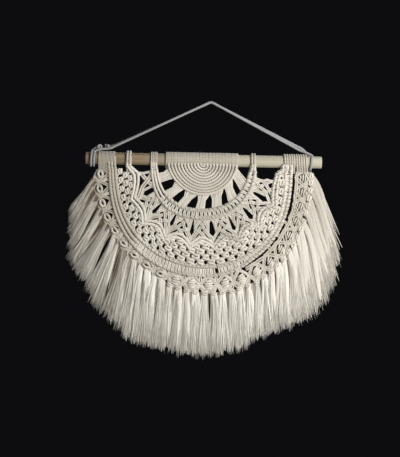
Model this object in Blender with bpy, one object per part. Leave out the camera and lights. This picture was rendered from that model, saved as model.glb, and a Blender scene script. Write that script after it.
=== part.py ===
"""A half-round macrame wall hanging on a wooden dowel, hung from a doubled cord.

Metres, +Z up. The origin is where the hanger cord bends over its nail. +X runs to the right along the
dowel, -Y is the front. Angles of the half-round are measured at the dowel's axis, from its left side (0)
through straight down (90) to its right side (180 degrees).
"""

import math
import random

import bmesh
import bpy
from mathutils import Matrix, Vector
from mathutils.geometry import delaunay_2d_cdt

# Driving sizes
CORD = 0.004
CLEAR = 0.0003

DOWEL_RADIUS = 0.010
DOWEL_LEFT = -0.198
DOWEL_RIGHT = 0.202
DOWEL_SIDES = 24
DOWEL_BEVEL = 0.0012
DOWEL_TILT = math.radians(1.16)
DOWEL_CENTRE = Vector((-0.0146, 0.0, -0.0981))

# The cloth's top edge, just below the cords that are wrapped round the dowel
TOP_LINE = 0.0150

# How far each line of the cloth stands in front of the middle of the cord
BACK = 0.0020
EDGE = 0.0004
VALLEY = 0.0010
CREST = 0.0028
KNOT = 0.0044

DISC_RADIUS = 0.056
DISC_PITCH = 0.0056

SPOKE_ANGLES = (23.5, 46.0, 68.0, 90.0, 111.0, 133.0, 153.0)
SPOKE_WIDTH = 0.013
SPOKE_LINES = 7

# Rings of the half-round: radius on the left, lower left, bottom, lower right and right
RINGS = {
    "inner_band_in": (0.0765, 0.0830, 0.0830, 0.0845, 0.0810),
    "inner_band_out": (0.0870, 0.1000, 0.1000, 0.1000, 0.0920),
    "scallop_top": (0.1200, 0.1270, 0.1290, 0.1290, 0.1250),
    "outer_band_in": (0.1460, 0.1645, 0.1780, 0.1680, 0.1400),
    "outer_band_out": (0.1590, 0.1830, 0.1980, 0.1840, 0.1580),
    "border_out": (0.1860, 0.2000, 0.2270, 0.2150, 0.1870),
}

# The two bands: lines across the band as a share of its width, and how far each stands out
BAND_LINES = (
    # share, rise
    (0.14, CREST),
    (0.30, VALLEY),
    (0.72, VALLEY),
    (0.86, CREST),
)
INNER_STITCHES = 26
OUTER_STITCHES = 44

# Fans between the inner band and the scallops: the angles where two fans meet at a slot
FAN_ENDS = (12.5, 30.0, 47.7, 65.0, 82.6, 98.9, 116.0, 131.7, 148.9, 165.0)
FAN_LINES = 6
FAN_BODY = (0.14, 0.86)
FAN_EYE_LINES = (2, 4)
FAN_EYE_PLACE = 0.42
FAN_EYE = (0.0018, 0.0027)
SLOT = (
    # distance from the inner band's edge, half width
    (0.0030, 0.0),
    (0.0110, 0.0038),
    (0.0210, 0.0045),
    (0.0290, 0.0030),
)

SCALLOP_DEPTH = 0.0135
SCALLOP_WIDTH = 0.010
SCALLOP_DEPTH_SHARE = 0.40
SCALLOP_WIDTH_SHARE = 0.45
SCALLOP_LINES = (
    # share of the width, rise
    (0.0, VALLEY),
    (0.25, CREST),
    (0.5, VALLEY),
    (0.75, CREST),
    (1.0, VALLEY),
)

NET_START = 9.0
NET_END = 171.0
NET_COLUMNS = 28
NET_ROW = 0.0085
NET_ROWS = 5
NET_RAISED = 0.35
NET_GAP = (0.0026, 0.0031)
NET_MARGIN = 0.0042

BORDER_KNOTS = 22
BORDER_STEPS = 2
BORDER_EYE_PLACE = 0.43
BORDER_EYE_SIDES = 8
BORDER_EYE_RINGS = (
    # half width, half height, rise
    (0.0021, 0.0027, EDGE),
    (0.0046, 0.0058, KNOT),
    (0.0072, 0.0086, VALLEY),
)
BORDER_BAR = 0.91
BORDER_GAPS = (
    # share across the border, half width, half height
    (0.22, 0.0023, 0.0026),
    (0.66, 0.0024, 0.0034),
)
SLIT_STEPS = (36, 40)
SLIT_WIDTH = 0.0050

# Cords wrapped round the dowel, a group wherever the cloth is tied on
WRAP_PITCH = 0.0086
WRAP_SIDES = 12
WRAP_GROOVE = 0.0014
WRAPS = {
    "wraps_border_left": (-0.1765, -0.1466),
    "wraps_scallop_left": (-0.1300, -0.1195),
    "wraps_band_left": (-0.0885, -0.0754),
    "wraps_disc": (-0.0632, 0.0614),
    "wraps_band_right": (0.0810, 0.0907),
    "wraps_border_right": (0.1364, 0.1763),
}

# Fringe: one tassel for every half border knot, each of three locks across and two deep
TASSELS = 2 * BORDER_KNOTS
LOCKS = 3
STRIP_GAP = 1.5 * CLEAR
STRIP_DEPTH = 0.0035
STRIP_FRONT = -0.0030
STRIP_BACK = 0.0024
FRINGE_FIRST = 1
FRINGE_TABLE = (
    # angle, lean outwards (left positive), length
    (0.0, 33.0, 0.072),
    (12.0, 34.0, 0.076),
    (24.0, 33.5, 0.088),
    (35.0, 36.0, 0.099),
    (45.0, 31.8, 0.099),
    (55.0, 28.0, 0.109),
    (65.0, 20.0, 0.117),
    (72.0, 11.0, 0.112),
    (80.0, 3.6, 0.107),
    (90.0, 0.0, 0.105),
    (103.0, -2.7, 0.107),
    (112.0, -3.5, 0.101),
    (121.0, -7.0, 0.102),
    (129.0, -14.5, 0.096),
    (137.0, -24.0, 0.103),
    (148.0, -29.7, 0.107),
    (160.0, -29.0, 0.110),
    (180.0, -22.0, 0.107),
)
LOCK_RAGGED = 0.05
LOCK_BELLY = 0.70
LOCK_BELLY_SHARE = 0.88
LOCK_TIP_SHARE = 0.55
LOCK_GATHER = 0.10
LOCK_BULGE = 0.0016
LOCK_PART = 0.0004

# Hanger: a doubled cord, its bight turned once round the dowel on the right, its two ends on the left
HANGER_RADIUS = CORD / 2
HANGER_PAIR = 0.0023
TURN_RADIUS = DOWEL_RADIUS + HANGER_RADIUS + 0.0006
TURN_POINTS = 12
LEFT_TURN_X = -0.1822
LEFT_TURN_PITCH = 0.0048
LEFT_TURNS = 1.8
RIGHT_TURN_X = 0.1800
RIGHT_TURN_PITCH = 0.0062
RIGHT_TURNS = 0.84
HANGER_SAMPLE = 0.015
# Where the cord bends over the nail, in the part's own frame
HANGER_TOP = ((-0.006, 0.0, -0.0020), (0.0, 0.0, 0.0), (0.006, 0.0, -0.0024))
# Where its two arms reach the dowel: along, before and above the dowel's axis
RIGHT_FOOT = (0.1660, 0.0, 0.0215)
RIGHT_FOOT_SPLIT = (0.0013, 0.0, 0.0024)
RIGHT_BEHIND = (0.1745, 0.0032, 0.0172)
RIGHT_BEFORE = (0.1738, -0.0032, 0.0168)
LEFT_BEFORE = ((-0.1560, -0.0046, 0.0180), (-0.1722, -0.0050, 0.0165))
RIGHT_TURN_START = -0.5
LEFT_TURN_START = 0.45
# Where it leaves each knot, from the knot's middle
SIDE_EXIT = ((0.0052, 0.0, 0.0010), (0.0152, -0.0006, 0.0046))
END_EXIT = ((-0.0115, 0.0035, -0.0045), (-0.0055, 0.0008, -0.0004))
KNOT_RADIUS = 0.0050
KNOT_ROWS = 7
KNOT_SIDES = 12
KNOT_BULGE = 0.07
WRAP_CREST = DOWEL_RADIUS + CLEAR + CORD
KNOT_END = (-0.1752, 0.0040, math.sqrt((WRAP_CREST + CLEAR + KNOT_RADIUS) ** 2 - 0.0040**2))
KNOT_SIDE = (-0.1612, 0.0040, math.sqrt((WRAP_CREST + CLEAR + KNOT_RADIUS) ** 2 - 0.0040**2))


def ring_radius(name, angle):
    """Radius of a ring at an angle in radians: the cosine series through its five radii."""
    radii = RINGS[name]
    last = len(radii) - 1
    total = 0.0
    for k in range(last + 1):
        term = 0.0
        for j, radius in enumerate(radii):
            share = 0.5 if j in (0, last) else 1.0
            term += share * radius * math.cos(math.pi * j * k / last)
        total += term * math.cos(k * angle) * (1.0 if k in (0, last) else 2.0) / last
    return total


def ring(name):
    """Radius curve of one ring."""
    return lambda angle: ring_radius(name, angle)


def between(inner, outer, share):
    """Radius curve that lies a share of the way from one ring to another."""

    def radius(angle):
        low = ring_radius(inner, angle)
        return low + share * (ring_radius(outer, angle) - low)

    return radius


def fan_place(angle):
    """Where an angle lies in its fan, from -1 at one slot to 1 at the next."""
    degrees = math.degrees(angle)
    for start, end in zip(FAN_ENDS, FAN_ENDS[1:]):
        if start <= degrees <= end:
            return (2.0 * degrees - start - end) / (end - start)
    half = FAN_ENDS[1] - FAN_ENDS[0]
    return max(-1.0, (degrees - FAN_ENDS[0]) / half * 2.0 + 1.0)


def scallop(share):
    """Radius curve of the scallops: arches whose tops face the middle and whose feet meet at the slots."""

    def radius(angle):
        top = ring_radius("scallop_top", angle)
        room = ring_radius("outer_band_in", angle) - top
        depth = min(SCALLOP_DEPTH, SCALLOP_DEPTH_SHARE * room)
        width = min(SCALLOP_WIDTH, SCALLOP_WIDTH_SHARE * room)
        return top + depth * fan_place(angle) ** 2 + width * share

    return radius


def top_angles(radius):
    """The two angles where a radius curve meets the cloth's top edge."""
    left = 0.0
    right = math.pi
    for _ in range(20):
        left = math.asin(TOP_LINE / radius(left))
        right = math.pi - math.asin(TOP_LINE / radius(right))
    return left, right


def polar(angle, radius):
    """Point of the flat drawing at an angle and radius."""
    return Vector((-radius * math.cos(angle), -radius * math.sin(angle)))


def spread(start, end, steps):
    """Evenly spaced numbers from start to end, both ends in."""
    return [start + (end - start) * k / steps for k in range(steps + 1)]


class Drawing:
    """The cloth drawn flat: points with a rise, creases between them, solid patches and cut gaps."""

    def __init__(self):
        self.points = []
        self.rises = []
        self.creases = []
        self.solids = []
        self.gaps = []

    def dot(self, place, rise):
        self.points.append(place)
        self.rises.append(rise)
        return len(self.points) - 1

    def row(self, places, rises, closed=False):
        """A line of points joined by creases."""
        if not isinstance(rises, (list, tuple)):
            rises = [rises] * len(places)
        dots = [self.dot(place, rise) for place, rise in zip(places, rises)]
        self.creases += list(zip(dots, dots[1:]))
        if closed:
            self.creases.append((dots[-1], dots[0]))
        return dots

    def curve(self, radius, angles, rises):
        """A row along a radius curve."""
        return self.row([polar(a, radius(a)) for a in angles], rises)

    def turned(self, patch):
        """A patch's dots in counter-clockwise order."""
        area = 0.0
        for a, b in zip(patch, patch[1:] + patch[:1]):
            area += self.points[a].cross(self.points[b])
        return patch if area > 0 else patch[::-1]

    def triangles(self):
        """Triangles of the solid patches less the gaps, with every point's rise."""
        patches = [self.turned(patch) for patch in self.solids + self.gaps]
        found = delaunay_2d_cdt(self.points, self.creases, patches, 0, 1e-5)
        places, _, faces, sources, _, owners = found
        gap = len(self.solids)
        kept = []
        for face, owner in zip(faces, owners):
            if owner and max(owner) < gap:
                kept.append(face)
        rises = []
        for source in sources:
            own = [self.rises[s] for s in source if s < len(self.rises)]
            rises.append(max(own) if own else VALLEY)
        return places, rises, kept


def draw_disc(drawing, edge):
    """Half disc: a cord wound to and fro in close half rounds."""
    count = 1
    while DISC_RADIUS - count * DISC_PITCH / 2 > TOP_LINE + CLEAR:
        size = DISC_RADIUS - count * DISC_PITCH / 2
        left, right = top_angles(lambda angle: size)
        steps = max(6, round(14 * size / DISC_RADIUS))
        rise = CREST if count % 2 else VALLEY
        drawing.curve(lambda angle: size, spread(left, right, steps), rise)
        count += 1
    drawing.solids.append(edge)


def spoke_row(drawing, radius):
    """A ring line that takes in the ends of all the spokes' cords. Returns it and the spokes' dots."""
    left, right = top_angles(radius)
    angles = [left]
    rises = [EDGE]
    spans = []
    before = left
    for degrees in SPOKE_ANGLES:
        middle = math.radians(degrees)
        reach = SPOKE_WIDTH / 2 / radius(middle)
        angles.append((before + middle - reach) / 2)
        rises.append(EDGE)
        spans.append(len(angles))
        for k, angle in enumerate(spread(middle - reach, middle + reach, SPOKE_LINES - 1)):
            angles.append(angle)
            rises.append(CREST if k % 2 else VALLEY)
        before = middle + reach
    angles += [(before + right) / 2, right]
    rises += [EDGE, EDGE]
    dots = drawing.curve(radius, angles, rises)
    return dots, [dots[s : s + SPOKE_LINES] for s in spans]


def draw_spokes(drawing):
    """Seven flat groups of cords from the half disc to the inner band."""
    disc_edge, inner = spoke_row(drawing, lambda angle: DISC_RADIUS)
    band_edge, outer = spoke_row(drawing, ring("inner_band_in"))
    for low, high in zip(inner, outer):
        drawing.creases += list(zip(low, high))
        drawing.solids.append(low + high[::-1])
    return disc_edge, band_edge


def draw_band(drawing, inner, outer, inner_edge, outer_edge, stitches):
    """A band of two ridges with short upright stitches between them."""
    for share, rise in BAND_LINES:
        radius = between(inner, outer, share)
        left, right = top_angles(radius)
        rises = rise
        if rise == VALLEY:
            rises = [CREST if k % 2 else VALLEY for k in range(2 * stitches + 1)]
        steps = 2 * stitches if rise == VALLEY else stitches
        drawing.curve(radius, spread(left, right, steps), rises)
    drawing.solids.append(inner_edge + outer_edge[::-1])


def fan_angles():
    """Angles of the fans' lines, slots among them."""
    angles = []
    for start, end in zip(FAN_ENDS, FAN_ENDS[1:]):
        angles += spread(math.radians(start), math.radians(end), FAN_LINES)[:-1]
    return angles + [math.radians(FAN_ENDS[-1])]


def draw_fans(drawing, inner_row, outer_row):
    """Fans of cords between the inner band and the scallops, with a slot between each two."""
    for k, (low, high) in enumerate(zip(inner_row, outer_row)):
        line = k % FAN_LINES
        if not line:
            continue
        root = drawing.points[low]
        reach = drawing.points[high] - root
        ends = [root + reach * share for share in FAN_BODY]
        body = drawing.row(ends, CREST if line % 2 else VALLEY)
        drawing.creases += [(low, body[0]), (body[1], high)]
        if line in FAN_EYE_LINES:
            angle = math.atan2(-reach.y, -reach.x)
            outline = oval(root + reach * FAN_EYE_PLACE, angle, *FAN_EYE)
            drawing.gaps.append(drawing.row(outline, EDGE, closed=True))
    drawing.solids.append(inner_row + outer_row[::-1])
    for degrees in FAN_ENDS[1:-1]:
        angle = math.radians(degrees)
        start = ring_radius("inner_band_out", angle)
        sides = []
        for distance, half in SLOT:
            sides.append((start + distance, half))
        outline = [polar(angle + half / size, size) for size, half in sides]
        outline += [polar(angle - half / size, size) for size, half in sides[:0:-1]]
        drawing.gaps.append(drawing.row(outline, EDGE, closed=True))


def draw_scallops(drawing, angles):
    """A pair of cords in arches round the fans. Returns the inner and the outer edge."""
    rows = []
    for share, rise in SCALLOP_LINES:
        radius = scallop(share)
        left = top_angles(radius)[0]
        ends = [left, math.radians(NET_START)]
        rows.append(drawing.curve(radius, ends + angles, rise))
    drawing.solids.append(rows[0] + rows[-1][::-1])
    return rows[0], rows[-1]


def oval(centre, angle, half_width, half_height, sides=4):
    """Corners of an oval, or of a diamond, round a point, turned to face the middle of the half-round."""
    across = Vector((math.sin(angle), -math.cos(angle)))
    along = Vector((-math.cos(angle), -math.sin(angle)))
    places = []
    for k in range(sides):
        turn = 2 * math.pi * k / sides
        step = across * half_width * math.cos(turn) + along * half_height * math.sin(turn)
        places.append(centre + step)
    return places


def draw_net(drawing, inner_row, outer_row):
    """Open net of alternating knots, with a gap between each four."""
    drawing.solids.append(inner_row + outer_row[::-1])
    columns = spread(math.radians(NET_START), math.radians(NET_END), 2 * NET_COLUMNS)
    for row in range(1, NET_ROWS + 1):
        for k, angle in enumerate(columns[2:-2]):
            radius = ring_radius("outer_band_in", angle) - (row - NET_RAISED) * NET_ROW
            if radius - NET_MARGIN < scallop(1.0)(angle):
                continue
            if (k + row) % 2:
                drawing.dot(polar(angle, radius), CREST)
            else:
                outline = oval(polar(angle, radius), angle, *NET_GAP)
                drawing.gaps.append(drawing.row(outline, EDGE, closed=True))


def draw_border(drawing, inner_row, outer_row):
    """A row of eye-shaped knots joined by crossing pairs, with gaps between them."""
    drawing.solids.append(inner_row + outer_row[::-1])
    middle = between("outer_band_out", "border_out", 0.5)
    left, right = top_angles(middle)
    ends = spread(left, right, BORDER_KNOTS)
    bar = between("outer_band_out", "border_out", BORDER_BAR)
    drawing.curve(bar, spread(*top_angles(bar), 2 * BORDER_KNOTS), CREST)
    for start, end in zip(ends, ends[1:]):
        angle = (start + end) / 2
        centre = polar(angle, between("outer_band_out", "border_out", BORDER_EYE_PLACE)(angle))
        rings = []
        for half_width, half_height, rise in BORDER_EYE_RINGS:
            places = oval(centre, angle, half_width, half_height, BORDER_EYE_SIDES)
            rings.append(drawing.row(places, rise, closed=True))
        drawing.gaps.append(rings[0])
    for angle in ends[1:-1]:
        for share, half_width, half_height in BORDER_GAPS:
            radius = between("outer_band_out", "border_out", share)(angle)
            outline = oval(polar(angle, radius), angle, half_width, half_height)
            drawing.gaps.append(drawing.row(outline, EDGE, closed=True))
        radius = between("outer_band_out", "border_out", BORDER_EYE_PLACE)(angle)
        drawing.dot(polar(angle, radius), CREST)


def draw_slit(drawing, row):
    """The long gap on the right, where the border hangs away from the outer band."""
    first, last = SLIT_STEPS
    inner = []
    outer = []
    for dot in row[first + 1 : last]:
        outward = drawing.points[dot].normalized()
        inner.append(drawing.points[dot] - outward * SLIT_WIDTH / 2)
        outer.append(drawing.points[dot] + outward * SLIT_WIDTH / 2)
    outline = [drawing.points[row[first]]] + inner + [drawing.points[row[last]]] + outer[::-1]
    drawing.gaps.append(drawing.row(outline, EDGE, closed=True))


def draw_panel():
    """The whole cloth as one drawing, and its outer edge as a row of places."""
    drawing = Drawing()
    disc_edge, band_edge = draw_spokes(drawing)
    draw_disc(drawing, disc_edge)

    fans = fan_angles()
    radius = ring("inner_band_out")
    left, right = top_angles(radius)
    fan_row = drawing.curve(radius, [left] + fans + [right], VALLEY)
    draw_band(drawing, "inner_band_in", "inner_band_out", band_edge, fan_row, INNER_STITCHES)

    scallop_in, scallop_out = draw_scallops(drawing, fans)
    draw_fans(drawing, fan_row[1:-1], scallop_in[2:])

    radius = ring("outer_band_in")
    left, right = top_angles(radius)
    inside = spread(math.radians(NET_START), math.radians(NET_END), BORDER_KNOTS * BORDER_STEPS)
    net_row = drawing.curve(radius, [left] + inside + [right], VALLEY)
    draw_net(drawing, scallop_out[1:], net_row[1:-1])

    radius = ring("outer_band_out")
    left, right = top_angles(radius)
    outside = drawing.curve(radius, spread(left, right, BORDER_KNOTS * BORDER_STEPS), VALLEY)
    draw_band(drawing, "outer_band_in", "outer_band_out", net_row, outside, OUTER_STITCHES)

    radius = ring("border_out")
    left, right = top_angles(radius)
    rim = drawing.curve(radius, spread(left, right, TASSELS), EDGE)
    draw_border(drawing, outside, rim)
    draw_slit(drawing, outside)
    return drawing, [drawing.points[dot] for dot in rim]


def boundary(faces):
    """The edges, in their faces' direction, that belong to one face only."""
    edges = set()
    for face in faces:
        for a, b in zip(face, face[1:] + face[:1]):
            edges.add((a, b))
    return [edge for edge in edges if (edge[1], edge[0]) not in edges]


def flat_back(places, rim):
    """Plain triangles between boundary edges, over the same area as the front."""
    used = sorted({dot for edge in rim for dot in edge})
    number = {dot: k for k, dot in enumerate(used)}
    edges = [(number[a], number[b]) for a, b in rim]
    found = delaunay_2d_cdt([places[dot] for dot in used], edges, [], 0, 1e-7)
    faces = found[2]
    walls = {frozenset(edge) for edge in edges}
    beside = {}
    for k, face in enumerate(faces):
        for a, b in zip(face, face[1:] + face[:1]):
            beside.setdefault(frozenset((a, b)), []).append(k)
    state = {}
    waiting = []
    for edge, owners in beside.items():
        if len(owners) == 1 and owners[0] not in state:
            state[owners[0]] = edge in walls
            waiting.append(owners[0])
    while waiting:
        k = waiting.pop()
        face = faces[k]
        for a, b in zip(face, face[1:] + face[:1]):
            edge = frozenset((a, b))
            for other in beside[edge]:
                if other not in state:
                    state[other] = state[k] != (edge in walls)
                    waiting.append(other)
    return [[used[dot] for dot in face] for k, face in enumerate(faces) if state[k]]


def build_panel(material):
    """The knotted cloth: the drawing's front with its ridges, a flat back, and walls round every edge."""
    drawing, rim = draw_panel()
    places, rises, front = drawing.triangles()
    edges = boundary(front)
    back = flat_back(places, edges)

    verts = []
    ahead = {}
    behind = {}
    for dot in sorted({dot for face in front for dot in face}):
        ahead[dot] = len(verts)
        verts.append((places[dot].x, -rises[dot], places[dot].y))
    for dot in sorted({dot for edge in edges for dot in edge}):
        behind[dot] = len(verts)
        verts.append((places[dot].x, BACK, places[dot].y))
    faces = [[ahead[dot] for dot in face] for face in front]
    faces += [[behind[dot] for dot in reversed(face)] for face in back]
    faces += [[ahead[b], ahead[a], behind[a], behind[b]] for a, b in edges]
    return add_mesh("panel", verts, faces, material), rim


def build_wraps(name, start, end, material):
    """Cords wound side by side round the dowel: a ridged sleeve, open at both ends for the dowel."""
    count = max(1, round((end - start) / WRAP_PITCH))
    profile = []
    for k in range(count):
        low = start + (end - start) * k / count
        high = start + (end - start) * (k + 1) / count
        profile.append((low, WRAP_CREST - WRAP_GROOVE))
        profile.append(((low + high) / 2, WRAP_CREST))
    profile.append((end, WRAP_CREST - WRAP_GROOVE))
    profile.append((end, DOWEL_RADIUS / math.cos(math.pi / WRAP_SIDES) + CLEAR))
    profile.append((start, DOWEL_RADIUS / math.cos(math.pi / WRAP_SIDES) + CLEAR))
    verts = []
    for x, radius in profile:
        for k in range(WRAP_SIDES):
            turn = 2 * math.pi * k / WRAP_SIDES
            verts.append((x, radius * math.sin(turn), radius * math.cos(turn)))
    faces = []
    for row in range(len(profile)):
        after = (row + 1) % len(profile)
        for k in range(WRAP_SIDES):
            beside = (k + 1) % WRAP_SIDES
            quad = [row * WRAP_SIDES + k, after * WRAP_SIDES + k]
            quad += [after * WRAP_SIDES + beside, row * WRAP_SIDES + beside]
            faces.append(quad)
    return add_mesh(name, verts, faces, material)


def fringe_row(angle, column):
    """Lean and length of the fringe at an angle, read between the rows of its table."""
    degrees = math.degrees(angle)
    for low, high in zip(FRINGE_TABLE, FRINGE_TABLE[1:]):
        if degrees <= high[0]:
            share = (degrees - low[0]) / (high[0] - low[0])
            share = max(0.0, share)
            return low[column] + share * (high[column] - low[column])
    return FRINGE_TABLE[-1][column]


def build_fringe(rim, material):
    """Combed-out cord ends: locks that hang from a narrow strip just outside the cloth's rim."""
    ragged = random.Random(7)
    outward = []
    for k in range(len(rim)):
        along = rim[min(k + 1, len(rim) - 1)] - rim[max(k - 1, 0)]
        outward.append(Vector((along.y, -along.x)).normalized())

    def place(share, off):
        """Point beside the rim, at a number of tassels along it and a distance off it."""
        k = min(int(share), len(rim) - 2)
        part = share - k
        spot = rim[k].lerp(rim[k + 1], part)
        side = outward[k].lerp(outward[k + 1], part)
        return spot + side * off

    columns = LOCKS * (TASSELS - 2 * FRINGE_FIRST)
    depths = (STRIP_FRONT, (STRIP_FRONT + STRIP_BACK) / 2, STRIP_BACK)
    verts = []
    for k in range(columns + 1):
        share = FRINGE_FIRST + k / LOCKS
        inner = place(share, STRIP_GAP)
        outer = place(share, STRIP_GAP + STRIP_DEPTH)
        verts += [(inner.x, STRIP_FRONT, inner.y), (inner.x, STRIP_BACK, inner.y)]
        verts += [(outer.x, depth, outer.y) for depth in depths]
    faces = []
    size = 5
    for k in range(columns):
        a = k * size
        b = a + size
        faces.append([a, a + 1, b + 1, b])
        faces.append([a, b, b + 2, a + 2])
        faces.append([a + 1, a + 4, b + 4, b + 1])
        for row in range(2):
            share = FRINGE_FIRST + (k + 0.5) / LOCKS
            root = [a + 2 + row, b + 2 + row, b + 3 + row, a + 3 + row]
            add_lock(verts, faces, root, place, share, row, ragged)
    faces.append([0, 2, 3, 4, 1])
    last = columns * size
    faces.append([last, last + 1, last + 4, last + 3, last + 2])
    return add_mesh("fringe", verts, faces, material)


def add_lock(verts, faces, root, place, share, row, ragged):
    """One lock: four sides from its root on the strip, full at its belly and blunt at its tip."""
    stretch = 1.0 + LOCK_RAGGED * ragged.uniform(-1.0, 1.0)
    tassel = int(share) + 0.5

    def hang(spot, part):
        """Place that a root's lock reaches after part of its length."""
        start = place(spot, STRIP_GAP + STRIP_DEPTH)
        angle = math.atan2(-start.y, -start.x)
        lean = math.radians(fringe_row(angle, 1))
        length = fringe_row(angle, 2) * stretch
        return start + Vector((-math.sin(lean), -math.cos(lean))) * length * part

    front = verts[root[0]][1]
    back = verts[root[3]][1]
    out_front, out_back = (-LOCK_BULGE, -LOCK_PART) if row == 0 else (LOCK_PART, LOCK_BULGE)
    first = len(verts)
    half = 0.5 / LOCKS
    for part, fill in ((LOCK_BELLY, LOCK_BELLY_SHARE), (1.0, LOCK_TIP_SHARE)):
        middle = share + (tassel - share) * LOCK_GATHER * part
        low = hang(middle - half * fill, part)
        high = hang(middle + half * fill, part)
        if part < 1.0:
            near = front + out_front
            far = back + out_back
            verts += [(low.x, near, low.y), (high.x, near, high.y)]
            verts += [(high.x, far, high.y), (low.x, far, low.y)]
        else:
            depth = (front + back) / 2 + out_front + out_back
            verts += [(low.x, depth, low.y), (high.x, depth, high.y)]
    belly = [first, first + 1, first + 2, first + 3]
    tip = [first + 4, first + 5]
    for j in range(4):
        n = (j + 1) % 4
        faces.append([root[j], root[n], belly[n], belly[j]])
    faces.append([belly[0], belly[1], tip[1], tip[0]])
    faces.append([belly[1], belly[2], tip[1]])
    faces.append([belly[2], belly[3], tip[0], tip[1]])
    faces.append([belly[3], belly[0], tip[0]])


def from_dowel(x, y, z):
    """A place given along, before and above the dowel's axis, in the part's own frame."""
    return DOWEL_CENTRE + Matrix.Rotation(DOWEL_TILT, 3, "Y") @ Vector((x, y, z))


def turns(start_x, pitch, first, last):
    """Points of a cord wound round the dowel between two angles, from its top over the front."""
    steps = round(abs(last - first) / (2 * math.pi) * TURN_POINTS)
    points = []
    for turn in spread(first, last, steps):
        x = start_x + pitch * abs(turn - first) / (2 * math.pi)
        points.append(from_dowel(x, -TURN_RADIUS * math.sin(turn), TURN_RADIUS * math.cos(turn)))
    return points


def smooth(points, spacing):
    """Points read at an even spacing from a smooth curve through the given points."""
    curve = []
    for k in range(len(points) - 1):
        before = points[max(k - 1, 0)]
        start = points[k]
        end = points[k + 1]
        after = points[min(k + 2, len(points) - 1)]
        steps = max(1, round((end - start).length / spacing))
        for step in range(steps):
            t = step / steps
            bend = 2 * start + (end - before) * t
            bend += (2 * before - 5 * start + 4 * end - after) * t * t
            bend += (3 * start - before - 3 * end + after) * t**3
            curve.append(bend / 2)
    return curve + [points[-1]]


def hanger_route():
    """Centre line of the hanger cord, from the knot at its side to the knot at its end."""
    apart = Vector((0.0, HANGER_PAIR, 0.0))
    top = [Vector(place) for place in HANGER_TOP]
    foot = from_dowel(*RIGHT_FOOT)
    split = Vector(RIGHT_FOOT_SPLIT) + 0.3 * apart
    right_end = RIGHT_TURN_START - 2 * math.pi * RIGHT_TURNS
    left_end = LEFT_TURN_START + 2 * math.pi * LEFT_TURNS

    route = [from_dowel(*KNOT_SIDE) + Vector(step) for step in SIDE_EXIT]
    route += [place + apart for place in top]
    route += [foot + split, from_dowel(*RIGHT_BEHIND)]
    route += turns(RIGHT_TURN_X, RIGHT_TURN_PITCH, RIGHT_TURN_START, right_end)
    route += [from_dowel(*RIGHT_BEFORE), foot - split]
    route += [place - apart for place in reversed(top)]
    route += [from_dowel(*place) for place in LEFT_BEFORE]
    route += turns(LEFT_TURN_X, -LEFT_TURN_PITCH, LEFT_TURN_START, left_end)
    route += [from_dowel(*KNOT_END) + Vector(step) for step in END_EXIT]
    return route


def build_hanger(material):
    """The hanger cord as one tube along its route."""
    line = bpy.data.curves.new("hanger_cord", "CURVE")
    line.dimensions = "3D"
    line.bevel_depth = HANGER_RADIUS
    line.bevel_resolution = 2
    line.use_fill_caps = True
    line.resolution_u = 1
    line.render_resolution_u = 0
    points = smooth(hanger_route(), HANGER_SAMPLE)
    spline = line.splines.new("POLY")
    spline.points.add(len(points) - 1)
    for target, place in zip(spline.points, points):
        target.co = (*place, 1.0)
    line.materials.append(material)
    cord = bpy.data.objects.new("hanger_cord", line)
    bpy.context.collection.objects.link(cord)
    return cord


def build_knot(name, place, lean, material):
    """An overhand stopper knot: a ball of three winding bulges."""
    pole = KNOT_RADIUS * (1.0 - KNOT_BULGE)
    verts = [(0.0, 0.0, pole)]
    for row in range(1, KNOT_ROWS):
        tilt = math.pi * row / KNOT_ROWS
        for k in range(KNOT_SIDES):
            turn = 2 * math.pi * k / KNOT_SIDES
            size = KNOT_RADIUS * (1.0 - KNOT_BULGE + KNOT_BULGE * math.cos(3 * turn + 2 * tilt))
            ring = size * math.sin(tilt)
            verts.append((ring * math.cos(turn), ring * math.sin(turn), size * math.cos(tilt)))
    verts.append((0.0, 0.0, -pole))
    faces = []
    last = len(verts) - 1
    bottom = last - KNOT_SIDES
    for k in range(KNOT_SIDES):
        beside = (k + 1) % KNOT_SIDES
        faces.append([0, 1 + k, 1 + beside])
        faces.append([last, bottom + beside, bottom + k])
        for a in range(1, bottom, KNOT_SIDES):
            b = a + KNOT_SIDES
            faces.append([a + k, b + k, b + beside, a + beside])
    knot = add_mesh(name, verts, faces, material)
    knot.location = from_dowel(*place)
    knot.rotation_euler = (0.0, lean, 0.0)
    return knot


def build_dowel(material):
    """The wooden dowel, lying along X, its ends lightly rounded."""
    profile = (
        # along, radius
        (DOWEL_LEFT, DOWEL_RADIUS - DOWEL_BEVEL),
        (DOWEL_LEFT + DOWEL_BEVEL, DOWEL_RADIUS),
        (DOWEL_RIGHT - DOWEL_BEVEL, DOWEL_RADIUS),
        (DOWEL_RIGHT, DOWEL_RADIUS - DOWEL_BEVEL),
    )
    verts = []
    for x, radius in profile:
        for k in range(DOWEL_SIDES):
            turn = 2 * math.pi * k / DOWEL_SIDES
            verts.append((x, radius * math.sin(turn), radius * math.cos(turn)))
    faces = [list(range(DOWEL_SIDES))[::-1]]
    for row in range(len(profile) - 1):
        for k in range(DOWEL_SIDES):
            beside = (k + 1) % DOWEL_SIDES
            a = row * DOWEL_SIDES
            b = a + DOWEL_SIDES
            faces.append([a + k, b + k, b + beside, a + beside][::-1])
    faces.append([(len(profile) - 1) * DOWEL_SIDES + k for k in range(DOWEL_SIDES)])
    return add_mesh("dowel", verts, faces, material)


def add_mesh(name, verts, faces, material):
    """A new mesh object with its faces turned outwards."""
    mesh = bpy.data.meshes.new(name)
    mesh.from_pydata(verts, [], faces)
    shell = bmesh.new()
    shell.from_mesh(mesh)
    bmesh.ops.recalc_face_normals(shell, faces=shell.faces)
    shell.to_mesh(mesh)
    shell.free()
    mesh.materials.append(material)
    piece = bpy.data.objects.new(name, mesh)
    bpy.context.collection.objects.link(piece)
    return piece


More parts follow.
